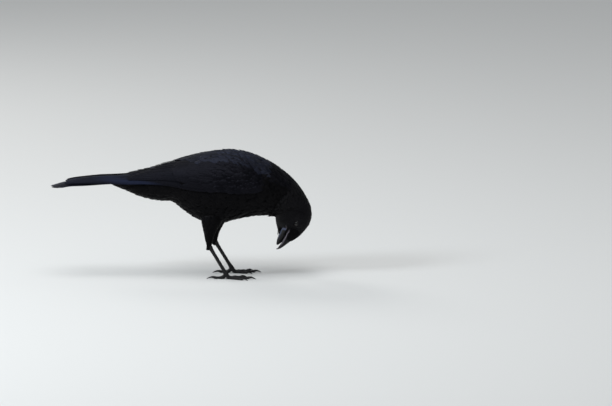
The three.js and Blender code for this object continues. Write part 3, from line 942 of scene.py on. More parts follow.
def under_wing(p):
    """True where a wing lies over the body, so that no feather is needed."""
    x, z = p[..., 0], p[..., 2]
    return (x < 73) & (x > -112) & (z < wing_top(x) - 9) & (z > edge_height(x) + 5)


def soft_floor(x, k):
    """x where it is well above nothing, and running out smoothly to nothing below."""
    return k * np.log1p(np.exp(np.clip(x / k, -40, 40)))


def over_eye(p, normal):
    """The height at which the coat clears the eyeball."""
    best = np.zeros(p.shape[:-1])
    for centre, _ in EYES.values():
        d = p - centre
        out = (d * normal).sum(-1)
        square = (d * d).sum(-1)
        inside = out ** 2 - square + (EYE["radius"] + 0.9) ** 2
        near = smooth(out, 0, 3) * (1 - smooth(np.sqrt(square), 9, 13))
        best = np.maximum(best, soft_floor(np.sqrt(soft_floor(inside, 3.0)) - out, 0.35) * near)
    return np.minimum(best, 6.0)


def coat_lift(t, angle):
    """How far the coat stands off the body here, and the place it stands at."""
    p, normal, _, _ = BODY.at(t, angle)
    height = fullness(p) + over_eye(p, normal)
    return height, p + normal * height[..., None]


def from_eye(p):
    """Distance to the opening of the nearer eye."""
    far = [np.linalg.norm(p - (c + LID_OUT * a), axis=-1) for c, a in EYES.values()]
    return np.minimum(*far)


def clearance(t, angle):
    """The same for the coat over a place on the body."""
    return from_eye(coat_lift(t, angle)[1])


def near_line(x, y, line):
    """Distance from places (x, y) to a bent line."""
    far = []
    for (x0, y0), (x1, y1) in zip(line[:-1], line[1:]):
        dx, dy = x1 - x0, y1 - y0
        f = np.clip(((x - x0) * dx + (y - y0) * dy) / (dx ** 2 + dy ** 2), 0, 1)
        far.append(np.hypot(x - lerp(x0, x1, f), y - lerp(y0, y1, f)))
    return np.min(far, axis=0)


# In the head's own forward and up: the corner of the mouth, and the margin of the lower horn.
GAPE = [(15.9, -12.5), (19.5, -11.4), (23.4, -10.6)]
MARGIN = [(23.4, -10.6), (25.8, -14.2), (29.2, -19.1), (30.2, -21.8)]


def on_bare_horn(p):
    """True where the horn of the bill is bare, by the line where the face feathers stop."""
    flat = turned_back(p) - HEAD
    forward, up, out = flat @ FORWARD, flat @ UP, np.abs(flat[..., 1])
    gape = near_line(forward, up, GAPE) < 1.0
    margin_forward, margin_up = zip(*MARGIN[::-1])
    lower = (forward > np.interp(up, margin_up, margin_forward) - 0.8) & (up < -8) & (up > -22)
    upper = (forward > 23) & (up > -8) & (up < -4)
    return (gape | lower | upper) & (out > 2.5)


# Row of the body, and the angle from the middle of the back down to which the coat is glossy and
# painted lighter blue as sky sheen.
MANTLE = np.array([
    [0, 0.8], [2, 0.95], [4, 1.15], [6, 1.3], [8, 1.2], [9.4, 1.0], [10.4, 1.1], [12.6, 0.9],
], float)


def is_back(t, angle):
    """True above the uneven lower border of the glossy feathers, whose colour has sheen painted into
    it.
    """
    uneven = np.sin(23 * t + 11 * np.abs(angle)) * np.sin(9 * t - 31 * np.abs(angle))
    edge = np.interp(t, MANTLE[:, 0], MANTLE[:, 1]) + 0.07 * uneven
    return np.cos(angle) > np.cos(edge)


BACK, BELLY = 0.0, math.pi
# How far feathers stay from the opening of an eye: their roots, their middle lines, which are
# shortened for it, and the least for those that stay.
ROOT_CLEAR, LINE_CLEAR, LEAST_CLEAR = 5.0, 4.7, 4.5
SHORTER = (0.75, 0.55, 0.4, 0.28)


def body_feathers(name, finish, low, high, middle, seed, ragged, grid, wild=0.1, puff=1.0):
    """Feathers on rows low to high, of the BACK or BELLY, or all the way round where middle is
    None. wild is how unevenly they lie, and puff how far their tips stand up."""
    coat = Coat(seed)
    rng = coat.rng

    def spacing(t, angle):
        return coat_at(t, angle)[1] * 1.02

    def keep(t, angle, p):
        good = ~under_wing(p) & (clearance(t, angle) > ROOT_CLEAR) & ~on_bare_horn(p)
        if middle is not None:
            good &= is_back(t, angle) == (middle == BACK)
        return good

    centre = BACK if middle is None else middle
    t, a = scatter(BODY, low, high, centre - math.pi, centre + math.pi, spacing, keep, rng)
    length, half, depth = coat_at(t, a)
    length = length * rng.uniform(0.85, 1.15, len(t))
    heading = rng.normal(0, wild, len(t))
    swerve = rng.normal(0, wild, len(t))
    line_t, line_a = march(BODY, t, a, heading, length)
    for shrink in SHORTER:
        close = clearance(line_t, line_a).min(1) < LINE_CLEAR
        if close.any():
            line_t[close], line_a[close] = march(
                BODY, t[close], a[close], (heading + swerve)[close], length[close] * shrink
            )
    good = clearance(line_t, line_a).min(1) >= LEAST_CLEAR
    line_t, line_a, half, depth = (x[good] for x in (line_t, line_a, half, depth))
    count = len(half)
    tip = (0.1 + rng.uniform(0, 0.35, count)) * (depth / 3.4) * puff
    share = np.linspace(0, 1, line_t.shape[1]) ** 0.75
    level = lerp(-0.85 * depth[:, None], tip[:, None], share) + coat_lift(line_t, line_a)[0]
    coat.lay(
        BODY, line_t, line_a, half * rng.uniform(0.9, 1.12, count), 0, 0, grid,
        level=level, ragged=ragged, camber=0.13, thick=0.06 + depth * 0.07,
    )
    return coat.finish(name, finish, "plumage")


# ---------------------------------------------------------------- skin
def closed_object(name, points, faces):
    """An object from a closed skin, with its faces turned outwards."""
    mesh = bpy.data.meshes.new(name)
    mesh.from_pydata(metres(points).tolist(), [], faces)
    work = bmesh.new()
    work.from_mesh(mesh)
    bmesh.ops.recalc_face_normals(work, faces=work.faces[:])
    work.to_mesh(mesh)
    work.free()
    return add_object(name, mesh)


def closed_tube(name, rings):
    points, quads, tris = tube(rings)
    return closed_object(name, points, quads.tolist() + tris.tolist())


def evaluated_mesh(made):
    """The mesh that an object's modifiers make of it."""
    bpy.context.view_layer.update()
    evaluated = made.evaluated_get(bpy.context.evaluated_depsgraph_get())
    return bpy.data.meshes.new_from_object(evaluated)


def body_skin():
    """The body less the depth of its coat, drawn in to a blunt end under the tail."""
    corners = 96
    t = np.concatenate([[-0.75, -0.6, -0.4, -0.2], np.linspace(0, LAST_ROW, 161)])
    angle = np.arange(corners) / corners * TURN
    t, angle = np.meshgrid(t, angle, indexing="ij")
    p, normal, _, _ = BODY.at(t, angle)
    p = p + normal * (fullness(p) - coat_at(t, angle)[2] * 0.95)[..., None]
    centre = p.mean(1, keepdims=True)
    close = smooth(t, -0.8, 0.0)[..., None]
    return closed_tube("skin_body", centre + (p - centre) * (0.25 + 0.75 * close))


def thigh_skin(foot):
    rows = thigh_rows(foot)
    coat = np.linspace(0.4, 2.4, len(rows))[:, None]
    rows[:, 3:] = np.maximum(rows[:, 3:] - coat, 2.2)
    return closed_tube("skin_thigh", limb_rings(fine_rows(rows, 40), 40))


def socket_ball(centre):
    """The hollow of an eye, a little larger than the eyeball."""
    ball = bmesh.new()
    radius = (EYE["radius"] + 0.15) * MM
    bmesh.ops.create_uvsphere(ball, u_segments=40, v_segments=24, radius=radius)
    bmesh.ops.translate(ball, verts=ball.verts[:], vec=metres(centre))
    mesh = bpy.data.meshes.new("socket")
    ball.to_mesh(mesh)
    ball.free()
    return add_object("socket", mesh)


def lid_ring(centre, axis):
    """Both lids as one almond ring over the ball, with two fine folds round it."""
    forward = head_point(1, 0, 0) - head_point(0, 0, 0)
    long_way = unit(forward - axis * (forward @ axis))
    short_way = np.cross(axis, long_way)
    around, profile = 72, 24
    theta = np.arange(around) / around * TURN
    reach = np.linspace(0, 1, profile // 2)
    opening = np.arcsin((3.75 + 0.45 * np.abs(np.cos(theta)) ** 1.5) / (EYE["radius"] + 0.2))
    rings = []
    for outer, shares in ((True, reach), (False, reach[::-1])):
        for q in shares:
            polar = lerp(opening, 1.62, q)
            fold = 0.13 * math.sin(q * 26.0) * (1 - q)
            rim = 0.42 * math.exp(-((q - 0.08) / 0.14) ** 2)
            over = EYE["radius"] + (0.20 + rim + fold if outer else -0.5)
            wide, deep = over * np.sin(polar), over * np.cos(polar)
            ring = centre + axis * deep[:, None]
            ring = ring + long_way * (wide * np.cos(theta))[:, None]
            rings.append(ring + short_way * (wide * np.sin(theta))[:, None])
    index = np.arange(len(rings) * around).reshape(len(rings), around)
    up, side = np.roll(index, -1, axis=0), np.roll(index, -1, axis=1)
    quads = np.stack([index, side, np.roll(up, -1, axis=1), up], -1).reshape(-1, 4)
    return closed_object("lid", np.stack(rings).reshape(-1, 3), quads.tolist())


def make_skin():
    """One skin under the coat: body, thighs, sockets and lids."""
    body = body_skin()
    others = [(thigh_skin(foot), "UNION") for foot in FEET.values()]
    for centre, axis in EYES.values():
        others += [(socket_ball(centre), "DIFFERENCE"), (lid_ring(centre, axis), "UNION")]
    for other, operation in others:
        cut = body.modifiers.new("cut", "BOOLEAN")
        cut.object = other
        cut.solver = "EXACT"
        cut.operation = operation
    mesh = evaluated_mesh(body)
    for other in (body, *(other for other, _ in others)):
        bpy.data.objects.remove(other)
    mesh.name = "skin"
    mesh.materials.clear()
    mesh.materials.append(FINISH["skin"])
    mesh.polygons.foreach_set("use_smooth", np.ones(len(mesh.polygons), bool))
    mesh.polygons.foreach_set("material_index", np.zeros(len(mesh.polygons), np.int32))
    made = add_object("skin", mesh)
    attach(made, "root")
    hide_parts("head", "neck", "trunk", "rump", "thigh_left", "thigh_right")


# ---------------------------------------------------------------- eyes
def make_eye(name):
    """An eyeball with its clear front bulging a little."""
    centre, axis = EYES[name]
    axis = unit(axis)
    side = unit(np.cross(axis, [0, 0, 1.0]))
    up = np.cross(side, axis)
    rows, corners = 40, 48
    polar = np.linspace(0.02, math.pi - 0.02, rows)
    around = np.arange(corners) / corners * TURN
    radius = EYE["radius"] * np.ones_like(polar) + 0.22 * (1 - smooth(polar, 0.25, 0.62))
    wide, deep = radius * np.sin(polar), radius * np.cos(polar)
    spokes = np.cos(around)[None, :, None] * side + np.sin(around)[None, :, None] * up
    ring = np.where(polar > math.pi / 2, 8.0, wide)[:, None]
    shells = Shells()
    shells.add(centre + deep[:, None, None] * axis + wide[:, None, None] * spokes, ring=ring)
    shells.finish("eye_ball_" + name, "eye", "eye", ("eye_" + name,))


# ---------------------------------------------------------------- bill
# Forward and up in the head, for the ridge and for the edge, and half width.
UPPER_BILL = [
    [13, 5, -8.2, 10.2],
    [22, 4.4, -7.6, 9.6],
    [31, 3, -7.2, 7.9],
    [40, 0.9, -6.9, 6.4],
    [49, -1.6, -6.9, 5.1],
    [56.5, -4, -7.4, 3.9],
    [61.5, -6.1, -8.4, 2.6],
    [65.2, -8.8, -10.4, 1.1],
]
LOWER_BILL = [
    [9, -20.6, -12.5, 11.0],
    [18, -21.6, -10.8, 11.6],
    [27, -21.8, -10.2, 10.2],
    [36, -20.9, -10.2, 6.9],
    [45, -19.5, -10.4, 5],
    [52, -17.8, -10.9, 3.8],
    [56.5, -16, -11.7, 2.5],
    [59.5, -14.4, -12.6, 1.2],
]
BRISTLE_ROWS = [
    [12, 10.6, -4, 12.4],
    [18, 9.6, -4, 11],
    [24, 8, -3.4, 9.8],
    [31, 5.6, -3, 8.3],
    [38, 2.9, -2.2, 6.8],
]
CHIN_ROWS = [
    [16, -33, -15, 11],
    [24, -32, -14.5, 10],
    [32, -29.8, -14.2, 8.4],
    [40, -25.4, -14, 6.4],
    [47, -21.6, -13.6, 4.6],
]
# Roots from and to, reach round the ridge, depth of the root, and number of feathers.
BRISTLE_GROUPS = ((9, 17, 1.75, 3.4, 300), (16, 22, 1.75, 2.8, 220), (21, 26, 1.7, 2.0, 160))
CHIN_GROUPS = (
    (16, 26, 0.9, 5.0, 120),
    (22, 30, 0.8, 3.2, 150),
    (14, 21, 1.15, 2.6, 200),
    (20, 27, 1.1, 1.8, 200),
    (26, 34, 1.0, 0.8, 150),
)
HORN_RINGS, HORN_CORNERS = 72, 48


def horn_rings(rows):
    """Rings of a mandible: keeled on the ridge side, hollowed like a trough on the other. With
    them, how far each point lies on the ridge side, and each ring's forward and place up."""
    rows = fine_rows(rows, HORN_RINGS)
    forward, ridge, edge, half = (rows[:, k, None] for k in range(4))
    angle = np.arange(HORN_CORNERS) / HORN_CORNERS * TURN
    lift = np.cos(angle)[None]
    share = np.linspace(0, 1, HORN_RINGS)[:, None]
    point = np.sqrt(1 - np.clip((share - 0.95) / 0.052, 0, 1) ** 2)
    tall = (ridge - edge) * point
    edge = edge + (ridge - edge) * 0.4 * (1 - point)
    keel, trough = np.clip(lift, 0, 1) ** 0.8 * 1.04, 0.30 * lift * lift
    up = edge + tall * np.where(lift > 0, keel, trough)
    wide = half * point * np.where(lift > 0, 1, 0.9)
    side = wide * np.sign(np.sin(angle)) * np.abs(np.sin(angle)) ** 0.85
    return head_point(forward + 0 * side, up + 0 * side, side), lift, forward, up


def horn_grain():
    """The map of a mandible: round it, and along it."""
    around = np.sin(np.arange(HORN_CORNERS) / HORN_CORNERS * TURN)[None] * 2
    along = np.linspace(0, 1, HORN_RINGS)[:, None] * 1.2
    return np.stack(np.broadcast_arrays(around, along), -1)


def body_on_face(forward, up, hand):
    """Places on the side of the face, at the level of the skin, by their place in the head."""
    t, angle = np.linspace(15, LAST_ROW, 121), np.linspace(0.7, 2.6, 121) * hand
    place = BODY.point(*np.meshgrid(t, angle, indexing="ij"))
    flat = turned_back(place) - HEAD
    far_forward = flat @ FORWARD - forward[:, None, None]
    far_up = flat @ UP - up[:, None, None]
    far = (far_forward ** 2 + far_up ** 2).reshape(len(forward), -1)
    return place.reshape(-1, 3)[far.argmin(1)]


def gape_rings(hand):
    """A soft ridge over the corner of the mouth, on one side, which carries a painted highlight."""
    share = np.linspace(0, 1, 21)
    forward, up = (np.interp(share, [0, 0.5, 1], values) for values in zip(*GAPE))
    path = np.pad(body_on_face(forward, up, hand), ((3, 3), (0, 0)), "edge")
    path = np.stack([np.convolve(column, np.ones(7) / 7, "valid") for column in path.T], 1)
    thick = lerp(0.25, 0.55, smooth(share, 0, 0.6))[:, None]
    return limb_rings(np.concatenate([path, thick, thick], 1), 12)


def make_upper_mandible():
    """The upper horn, with a painted highlight along the cutting edge that is lost towards the tip.
    """
    rings, lift, forward, up = horn_rings(UPPER_BILL)
    rows = np.array(UPPER_BILL)
    above = up - np.interp(forward, rows[:, 0], rows[:, 2])
    # painted highlight along the cutting edge, fading out towards the tip
    painted_highlight_band = (1 - smooth(above, 1.9, 3.3)) * smooth(lift, -0.05, 0.03) * smooth(forward, 15, 20)
    horn = Shells()
    horn.add(rings, horn_grain(), pale=painted_highlight_band * (1 - 0.8 * smooth(forward, 42, 57)))
    # the corners of the mouth carry the same painted highlight
    for hand in SIDES.values():
        horn.add(gape_rings(hand), pale=0.65)
    horn.finish("upper_mandible", "bill_upper", "horn", ("bill_upper",))


def make_lower_mandible():
    """The lower horn, with painted sky reflection along the margin where it meets the face, and along
    its keel.
    """
    rings, lift, forward, up = horn_rings(LOWER_BILL)
    # painted reflection: bluish sky light painted along the margin and the keel
    margin = 1 - smooth(near_line(forward, up, MARGIN), 0.9, 2.0)
    keel = smooth(lift, 0.40, 0.56) * (1 - smooth(lift, 0.84, 0.94)) * smooth(forward, 24, 28)
    keel = keel * (1 - 0.85 * smooth(forward, 37, 54))
    horn = Shells()
    horn.add(rings, horn_grain(), pale=np.maximum(margin, keel * 0.9))
    horn.finish("lower_mandible", "bill_lower", "horn", ("bill_lower",))


def forward_feathers(name, rows, groups, seed, replaces=()):
    """Stiff narrow feathers lying forward over the root of a mandible, on rows like its own."""
    rows = np.asarray(rows, float)
    first, last = rows[0, 0], rows[-1, 0]
    hand = np.sign(rows[0, 1] - rows[0, 2])
    slope = (rows[-1] - rows[-2]) / (rows[-1, 0] - rows[-2, 0])

    def point(u, angle):
        u, angle = np.broadcast_arrays(np.asarray(u, float), np.asarray(angle, float))
        over = np.maximum(-u - last, 0)[..., None]
        row = rows_at(rows * [-1, 1, 1, 1], np.clip(u, -last, -first)) + over * slope
        lift = np.cos(angle)
        up = row[..., 2] + (row[..., 1] - row[..., 2]) * np.clip(lift, 0, 1) ** 0.8
        up = np.where(lift < 0, row[..., 2] + hand * 6 * lift, up)
        return head_point(-u, up, row[..., 3] * np.sin(angle))

    def unwrap(u, angle):
        return np.stack([0.3 + 0.4 * (-u - 10) / 40, 0.3 + 0.4 * (angle / TURN + 0.5)], -1)

    sheet = Sheet(point, 0.1, 0.01, outward=-hand, unwrap=unwrap)
    coat = Coat(seed)
    rng = coat.rng
    for low, high, reach, deep, count in groups:
        u = -rng.uniform(low, high, count)
        a = rng.uniform(-reach, reach, count)
        length = rng.uniform(10, 15, count)
        heading = rng.normal(0, 0.07, count) - 0.05 * np.sign(a)
        half, tip = rng.uniform(0.32, 0.55, count), 0.4 * rng.uniform(-1, 1, count)
        coat.lay(
            sheet, *march(sheet, u, a, heading, length, steps=6), half, -deep, tip, GRID_NARROW,
            rise=0.55, blunt=1.0, waist=0.6, camber=0.1, thick=0.2,
        )
    return coat.finish(name, "soot", "plumage", replaces)


BRISTLE_INPUTS = {
    "Geometry": "Geometry", "Thickness": "Float", "Bend": "Float", "Unevenness": "Float",
    "Finish": "Material",
}


def bristle_tree():
    """Bent, tapering bristles on given points, each turned to its own aim."""
    tree = bpy.data.node_groups.new("bristles", "GeometryNodeTree")
    sockets = {}
    for label, kind in BRISTLE_INPUTS.items():
        socket = tree.interface.new_socket(label, in_out="INPUT", socket_type="NodeSocket" + kind)
        sockets[label] = socket.identifier
    tree.interface.new_socket("Geometry", in_out="OUTPUT", socket_type="NodeSocketGeometry")

    def node(kind, settings=None, inputs=None, output=0):
        made = tree.nodes.new(kind)
        for key, value in (settings or {}).items():
            setattr(made, key, value)
        for key, value in (inputs or {}).items():
            if isinstance(value, bpy.types.NodeSocket):
                tree.links.new(value, made.inputs[key])
            else:
                made.inputs[key].default_value = value
        return made.outputs[output]

    def maths(operation, a, b):
        return node("ShaderNodeMath", {"operation": operation}, {0: a, 1: b})

    def vector(x=0.0, y=0.0, z=0.0):
        return node("ShaderNodeCombineXYZ", None, {0: x, 1: y, 2: z})

    def named(name, kind):
        return node("GeometryNodeInputNamedAttribute", {"data_type": kind}, {"Name": name})

    def keep(geometry, name, kind, domain, value):
        return node(
            "GeometryNodeStoreNamedAttribute", {"data_type": kind, "domain": domain},
            {"Geometry": geometry, "Name": name, "Value": value},
        )

    # one bristle, with its place on the maps, bent forward towards its end
    given = tree.nodes.new("NodeGroupInput").outputs
    bristle = node("GeometryNodeMeshCone", None, {
        "Vertices": 5, "Side Segments": 4, "Radius Top": 0.00001,
        "Radius Bottom": given["Thickness"], "Depth": 1.0,
    }, output="Mesh")
    here = node("GeometryNodeInputPosition")
    x, z = (node("ShaderNodeSeparateXYZ", None, {0: here}, output=k) for k in (0, 2))
    wide = maths("MULTIPLY", maths("DIVIDE", x, given["Thickness"]), 0.0012)
    patch = vector(wide, maths("MULTIPLY", z, 0.003))
    bristle = keep(bristle, "patch", "FLOAT_VECTOR", "POINT", patch)
    bend = maths("MULTIPLY", maths("POWER", z, 2.0), given["Bend"])
    bristle = node("GeometryNodeSetPosition", None, {"Geometry": bristle, "Offset": vector(bend)})

    # one on each point, of its own length
    shortest = maths("SUBTRACT", 1.0, given["Unevenness"])
    vary = node(
        "FunctionNodeRandomValue", {"data_type": "FLOAT"}, {2: shortest, 3: 1.0, "Seed": 7}, output=1
    )
    size = vector(1.0, 1.0, maths("MULTIPLY", named("reach", "FLOAT"), vary))
    aim = named("aim", "FLOAT_VECTOR")
    turn = node("FunctionNodeAlignRotationToVector", {"axis": "Z"}, {"Vector": aim})
    roots = node("GeometryNodeMeshToPoints", None, {"Mesh": given["Geometry"], "Radius": MM})
    grown = node("GeometryNodeInstanceOnPoints", None, {
        "Points": roots, "Instance": bristle, "Rotation": turn, "Scale": size,
    })
    whole = node("GeometryNodeRealizeInstances", None, {"Geometry": grown})

    # its maps and finish
    patch = named("patch", "FLOAT_VECTOR")
    baked = node("ShaderNodeVectorMath", {"operation": "ADD"}, {
        0: named("bake", "FLOAT_VECTOR"), 1: patch,
    })
    whole = keep(whole, "OFBake", "FLOAT2", "CORNER", baked)
    whole = keep(whole, "vane", "FLOAT2", "CORNER", patch)
    whole = node("GeometryNodeSetMaterial", None, {"Geometry": whole, "Material": given["Finish"]})
    tree.links.new(whole, tree.nodes.new("NodeGroupOutput").inputs[0])
    return tree, sockets


def bristle_roots():
    """Points on both sides of the face that hold each bristle's aim, length and map place."""
    rng = np.random.default_rng(83)
    count = 44
    spots, aims, reaches, starts = [], [], [], []
    for hand in SIDES.values():
        forward, up = rng.uniform(11, 20, count), rng.uniform(-9, 2, count)
        spots.append(body_on_face(forward, up, hand))
        ahead, climb = rng.uniform(0.85, 1, count), rng.uniform(-0.35, 0.05, count)
        out = hand * rng.uniform(0.1, 0.4, count)
        aims.append(head_point(ahead, climb, out) - head_point(0, 0, 0))
        reaches.append(rng.uniform(0.0045, 0.0085, count))
        across = 0.72 + 0.1 * (hand > 0) + 0.004 * up
        starts.append(np.stack([across, 0.02 + 0.004 * forward, 0 * up], -1))
    mesh = bpy.data.meshes.new("bristle_roots")
    mesh.from_pydata(metres(np.concatenate(spots)).tolist(), [], [])
    for name, kind, key, values in (
        ("aim", "FLOAT_VECTOR", "vector", aims),
        ("reach", "FLOAT", "value", reaches),
        ("bake", "FLOAT_VECTOR", "vector", starts),
    ):
        data = mesh.attributes.new(name, kind, "POINT").data
        data.foreach_set(key, np.concatenate(values).astype(np.float32).ravel())
    return add_object("bristle_roots", mesh)


def make_bristles():
    """Fine stiff bristles before the eye and at the corners of the mouth."""
    holder = bristle_roots()
    tree, sockets = bristle_tree()
    grow = holder.modifiers.new("grow", "NODES")
    grow.node_group = tree
    grow[sockets["Thickness"]] = 0.00013
    grow[sockets["Bend"]] = 0.0009
    grow[sockets["Unevenness"]] = 0.35
    grow[sockets["Finish"]] = FINISH["face"]
    mesh = evaluated_mesh(holder)
    holder.modifiers.remove(grow)
    bpy.data.objects.remove(holder)
    mesh.name = "fine_bristles"
    made = add_object("fine_bristles", mesh)
    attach(made, "root")


# ---------------------------------------------------------------- wings
LONG_VANE = {"grid": GRID_FLIGHT, "rise": 1.0, "camber": 0.04, "thick": 0.35}


def lines(x0, x1, v0, v1, steps=14):
    """Middle lines that run straight down the wing from (x0, v0) to (x1, v1)."""
    s = np.linspace(0, 1, steps + 1)[None]
    x0, x1, v0, v1 = (np.asarray(a, float)[:, None] for a in (x0, x1, v0, v1))
    return lerp(x0, x1, s) + 0 * v0, lerp(v0, v1, s) + 0 * x0


def bake_cell(k, count, row=0, rows=1):
    """The place on the bake map of long feather k, of count side by side in one of some rows."""
    start = np.array([[0.02 + 0.96 * k / count, 0.02 + 0.96 * row / rows]])
    return start, (0.92 / count, 0.9 / rows)


def wing_arm(name, sheet):
    """The arm under the coverts, thick in front and thin behind."""
    s, e = np.meshgrid(np.linspace(0, 1, 41), np.linspace(0, 1, 25), indexing="ij")
    x = lerp(88, -62, s) + 9 * s * np.abs(2 * e - 1) ** 2
    reach = np.minimum(1, np.sqrt(s * 7 + 0.2)) * (1 - 0.2 * s ** 3)
    v = 0.46 - 0.03 * s + (e - 0.5) * reach * np.minimum(0.86, edge_share(x) - 0.02)
    place, normal, _, _ = sheet.at(x, v)
    edge = (1 - np.abs(2 * e - 1) ** 6) * (1 - np.abs(2 * s - 1) ** 8)
    deep = lerp(9.0, 2.4, smooth(s, 0.25, 0.62)) * edge
    top = place - normal * (1.9 - 0.3 * edge)[..., None]
    low = place - normal * (1.9 + deep)[..., None]
    points = np.concatenate([top.reshape(-1, 3), low[GRID_ARM["inner"]]])
    uv = np.stack([GRID_ARM["s"], (GRID_ARM["c"] + 1) / 2], -1)
    piece(
        "wing_arm_" + name, points, [GRID_ARM["quads"]], "soot",
        uvs={"OFBake": uv * 0.96 + 0.02, "vane": uv}, values={"tone": np.full(len(points), 0.3)},
    )


def covert_size(x):
    return np.interp(x, [-10, 40, 88], [6.6, 5.4, 3.6])


# Number, x of the roots and tips, share of the wing's depth from and to, half width, heights.
MIDDLE_COVERTS = (
    (13, 14, -24, 0.06, 0.80, 5.2, -1.7, 0.25),
    (12, 2, -42, 0.08, 0.79, 5.8, -2.0, 0.0),
)


def small_coverts(name, sheet):
    """Scales over the shoulder that grow towards the back, then two rows of middle coverts."""
    coat = Coat(11 + SIDES[name])
    rng = coat.rng

    def spacing(x, v):
        return covert_size(x) * 1.02

    def keep(x, v, p):
        return v < edge_share(x) - 0.05

    x, v = scatter(sheet, -8, 88, 0.0, 0.85, spacing, keep, rng, (96, 48))
    size, count = covert_size(x), len(x)
    heading, length = rng.normal(0.06, 0.10, count), size * rng.uniform(2.9, 3.5, count)
    half, tip = size * rng.uniform(0.95, 1.12, count), rng.uniform(0.0, 0.5, count)
    coat.lay(
        sheet, *march(sheet, x, v, heading, length), half, -1.9, tip, GRID_BODY,
        camber=0.12, thick=0.3, ragged=0.03,
    )
    for count, x0, x1, v0, v1, half, low, high in MIDDLE_COVERTS:
        place = (np.arange(count) + 0.5) / count
        tip = x1 + 7 * np.abs(2 * place - 1) ** 2 + rng.uniform(-1.5, 1.5, count)
        root = x0 + rng.uniform(-1, 1, count)
        line = lines(root, tip, lerp(v0, v1, place), lerp(v0 + 0.02, v1 - 0.03, place))
        coat.lay(
            sheet, *line, half, low, high, GRID_COVERT, camber=0.14, thick=0.35, lead=0.9, trail=1.1
        )
    coat.finish("small_coverts_" + name, "wing", "flight_feathers")


FRONT_DEPTH = 62  # depth of the wing at its front half
# Coverts of the primaries, then two rows of feathers of the thumb, along the low edge. Number,
# x of the first and last root and tip, how far in from the edge, half width, heights.
EDGE_COVERTS = (
    (8, (34, 16), (-58, -30), (0.0, 0.22), 4.6, -2.2, -1.2),
    (4, (64, 50), (8, 22), (0.0, 0.09), 4.2, -1.8, -0.5),
    (3, (86, 76), (52, 58), (0.0, 0.10), 3.6, -1.6, -0.2),
)


def great_coverts(name, sheet):
    """The great coverts, and those along the low edge, each lying on the one before."""
    coat = Coat(21 + SIDES[name])
    count = 11
    place = (np.arange(count) + 0.5) / count
    tip = -66 + 8 * np.abs(2 * place - 1) ** 2 + coat.rng.uniform(-1, 1, count)
    line = lines(np.full(count, -8.0), tip, lerp(0.08, 0.72, place), lerp(0.12, 0.72, place))
    coat.lay(
        sheet, *line, 6.6, -2.2, -0.7, GRID_FLIGHT, rise=0.6, blunt=0.8, waist=0.6,
        lead=0.6, trail=1.25, camber=0.05, thick=0.35, shaft=0.25, tilt=0.09,
    )
    for count, root, tip, inset, half, low, high in EDGE_COVERTS:
        order = np.arange(count)
        share = (order / (count - 1))[:, None]
        x = lerp(lerp(*root, share), lerp(*tip, share), np.linspace(0, 1, 15))
        v = edge_share(x) - lerp(*inset, share) - 0.36 * half / FRONT_DEPTH
        coat.lay(
            sheet, x, v, half, low + 0.1 * order, high + 0.1 * order, GRID_COVERT, rise=0.6,
            blunt=0.9, lead=0.4, trail=1.25, camber=0.05, thick=0.35, shaft=0.2, tilt=0.10,
        )
    coat.finish("great_coverts_" + name, "wing", "flight_feathers", ("wing_" + name,))


def shoulder_feathers(name, sheet):
    """Feathers of the shoulder blade, over the top edge of the wing."""
    coat = Coat(31 + SIDES[name])
    rng = coat.rng

    def spacing(x, v):
        return np.full_like(x, 6.4)

    def keep(x, v, p):
        return (np.abs(p[:, 1]) > 6) & (v < lerp(0.04, 0.17, smooth(x, -40, 0)))

    x, v = scatter(sheet, -36, 78, -0.16, 0.17, spacing, keep, rng, (60, 20))
    order = np.argsort(x)
    x, v = x[order], v[order]
    count = len(x)
    half = np.interp(x, [-36, 78], [8.2, 6.0])
    length = np.interp(x, [-36, 10, 78], [30, 27, 18]) * rng.uniform(0.8, 1.15, count)
    tip = rng.uniform(0.3, 0.8, count) * smooth(x, -45, 5) - 1.0 * (1 - smooth(x, -40, -10))
    heading = rng.normal(0.0, 0.08, count)
    coat.lay(
        sheet, *march(sheet, x, v, heading, length, steps=6), half, -1.8, tip, GRID_COVERT,
        rise=0.55, camber=0.10, thick=0.35, shaft=0.12,
    )
    coat.finish("shoulder_feathers_" + name, "shoulder", "plumage")


TERTIALS = 3
SECONDARY_TIPS = np.array([-84, -93, -101, -109, -116, -122, -127, -131, -134.0])


def secondary_feathers(name, sheet):
    """Tertials and secondaries: each upper one lies over the next one down."""
    coat = Coat(51 + SIDES[name])
    count = len(SECONDARY_TIPS)
    order = np.arange(count)
    place = (order + 1) / count
    half = np.where(order < TERTIALS, 9.5, 8.5)
    root_v = lerp(0.03, 0.72, place) - half * 0.38 / wing_chord(-22)
    tip_v = lerp(0.04, 0.80, place) - half * 0.38 / wing_chord(SECONDARY_TIPS)
    line_x, line_v = lines(-22.0 + 0.8 * order, SECONDARY_TIPS, root_v, tip_v, steps=20)
    heap = np.interp(order, [0, TERTIALS], [0.7, 0.0])
    for k in order:
        coat.lay(
            sheet, line_x[k:k + 1], line_v[k:k + 1], half[k], heap[k] - 3.2, heap[k] - 2.3,
            **LONG_VANE, blunt=0.95 if k < TERTIALS else 0.7, waist=0.75, lead=0.38,
            trail=1.3 if k else 0.5, shaft=0.28, tilt=0.13, cells=bake_cell(k, count),
        )
    coat.finish("secondary_feathers_" + name, "flight", "flight_feathers", ("secondaries_" + name,))


PRIMARIES = 6
# x of the tip, share of the wing's depth at the tip and further up, width of the hind side.
INNER_PRIMARIES = ((-228, 0.28, 0.24, 0.6), (-229, 0.48, 0.44, 0.8), (-229, 0.68, 0.64, 0.9))
# x, and the share of the wing's depth at which the innermost and the outermost primary lie.
PRIMARY_LINES = np.array([
    [-231, 0.30, 0.93],
    [-165, 0.50, 0.965],
    [-134, 0.66, 0.962],
    [-108, 0.72, 0.918],
    [-60, 0.74, 0.90],
    [0, 0.74, 0.88],
])


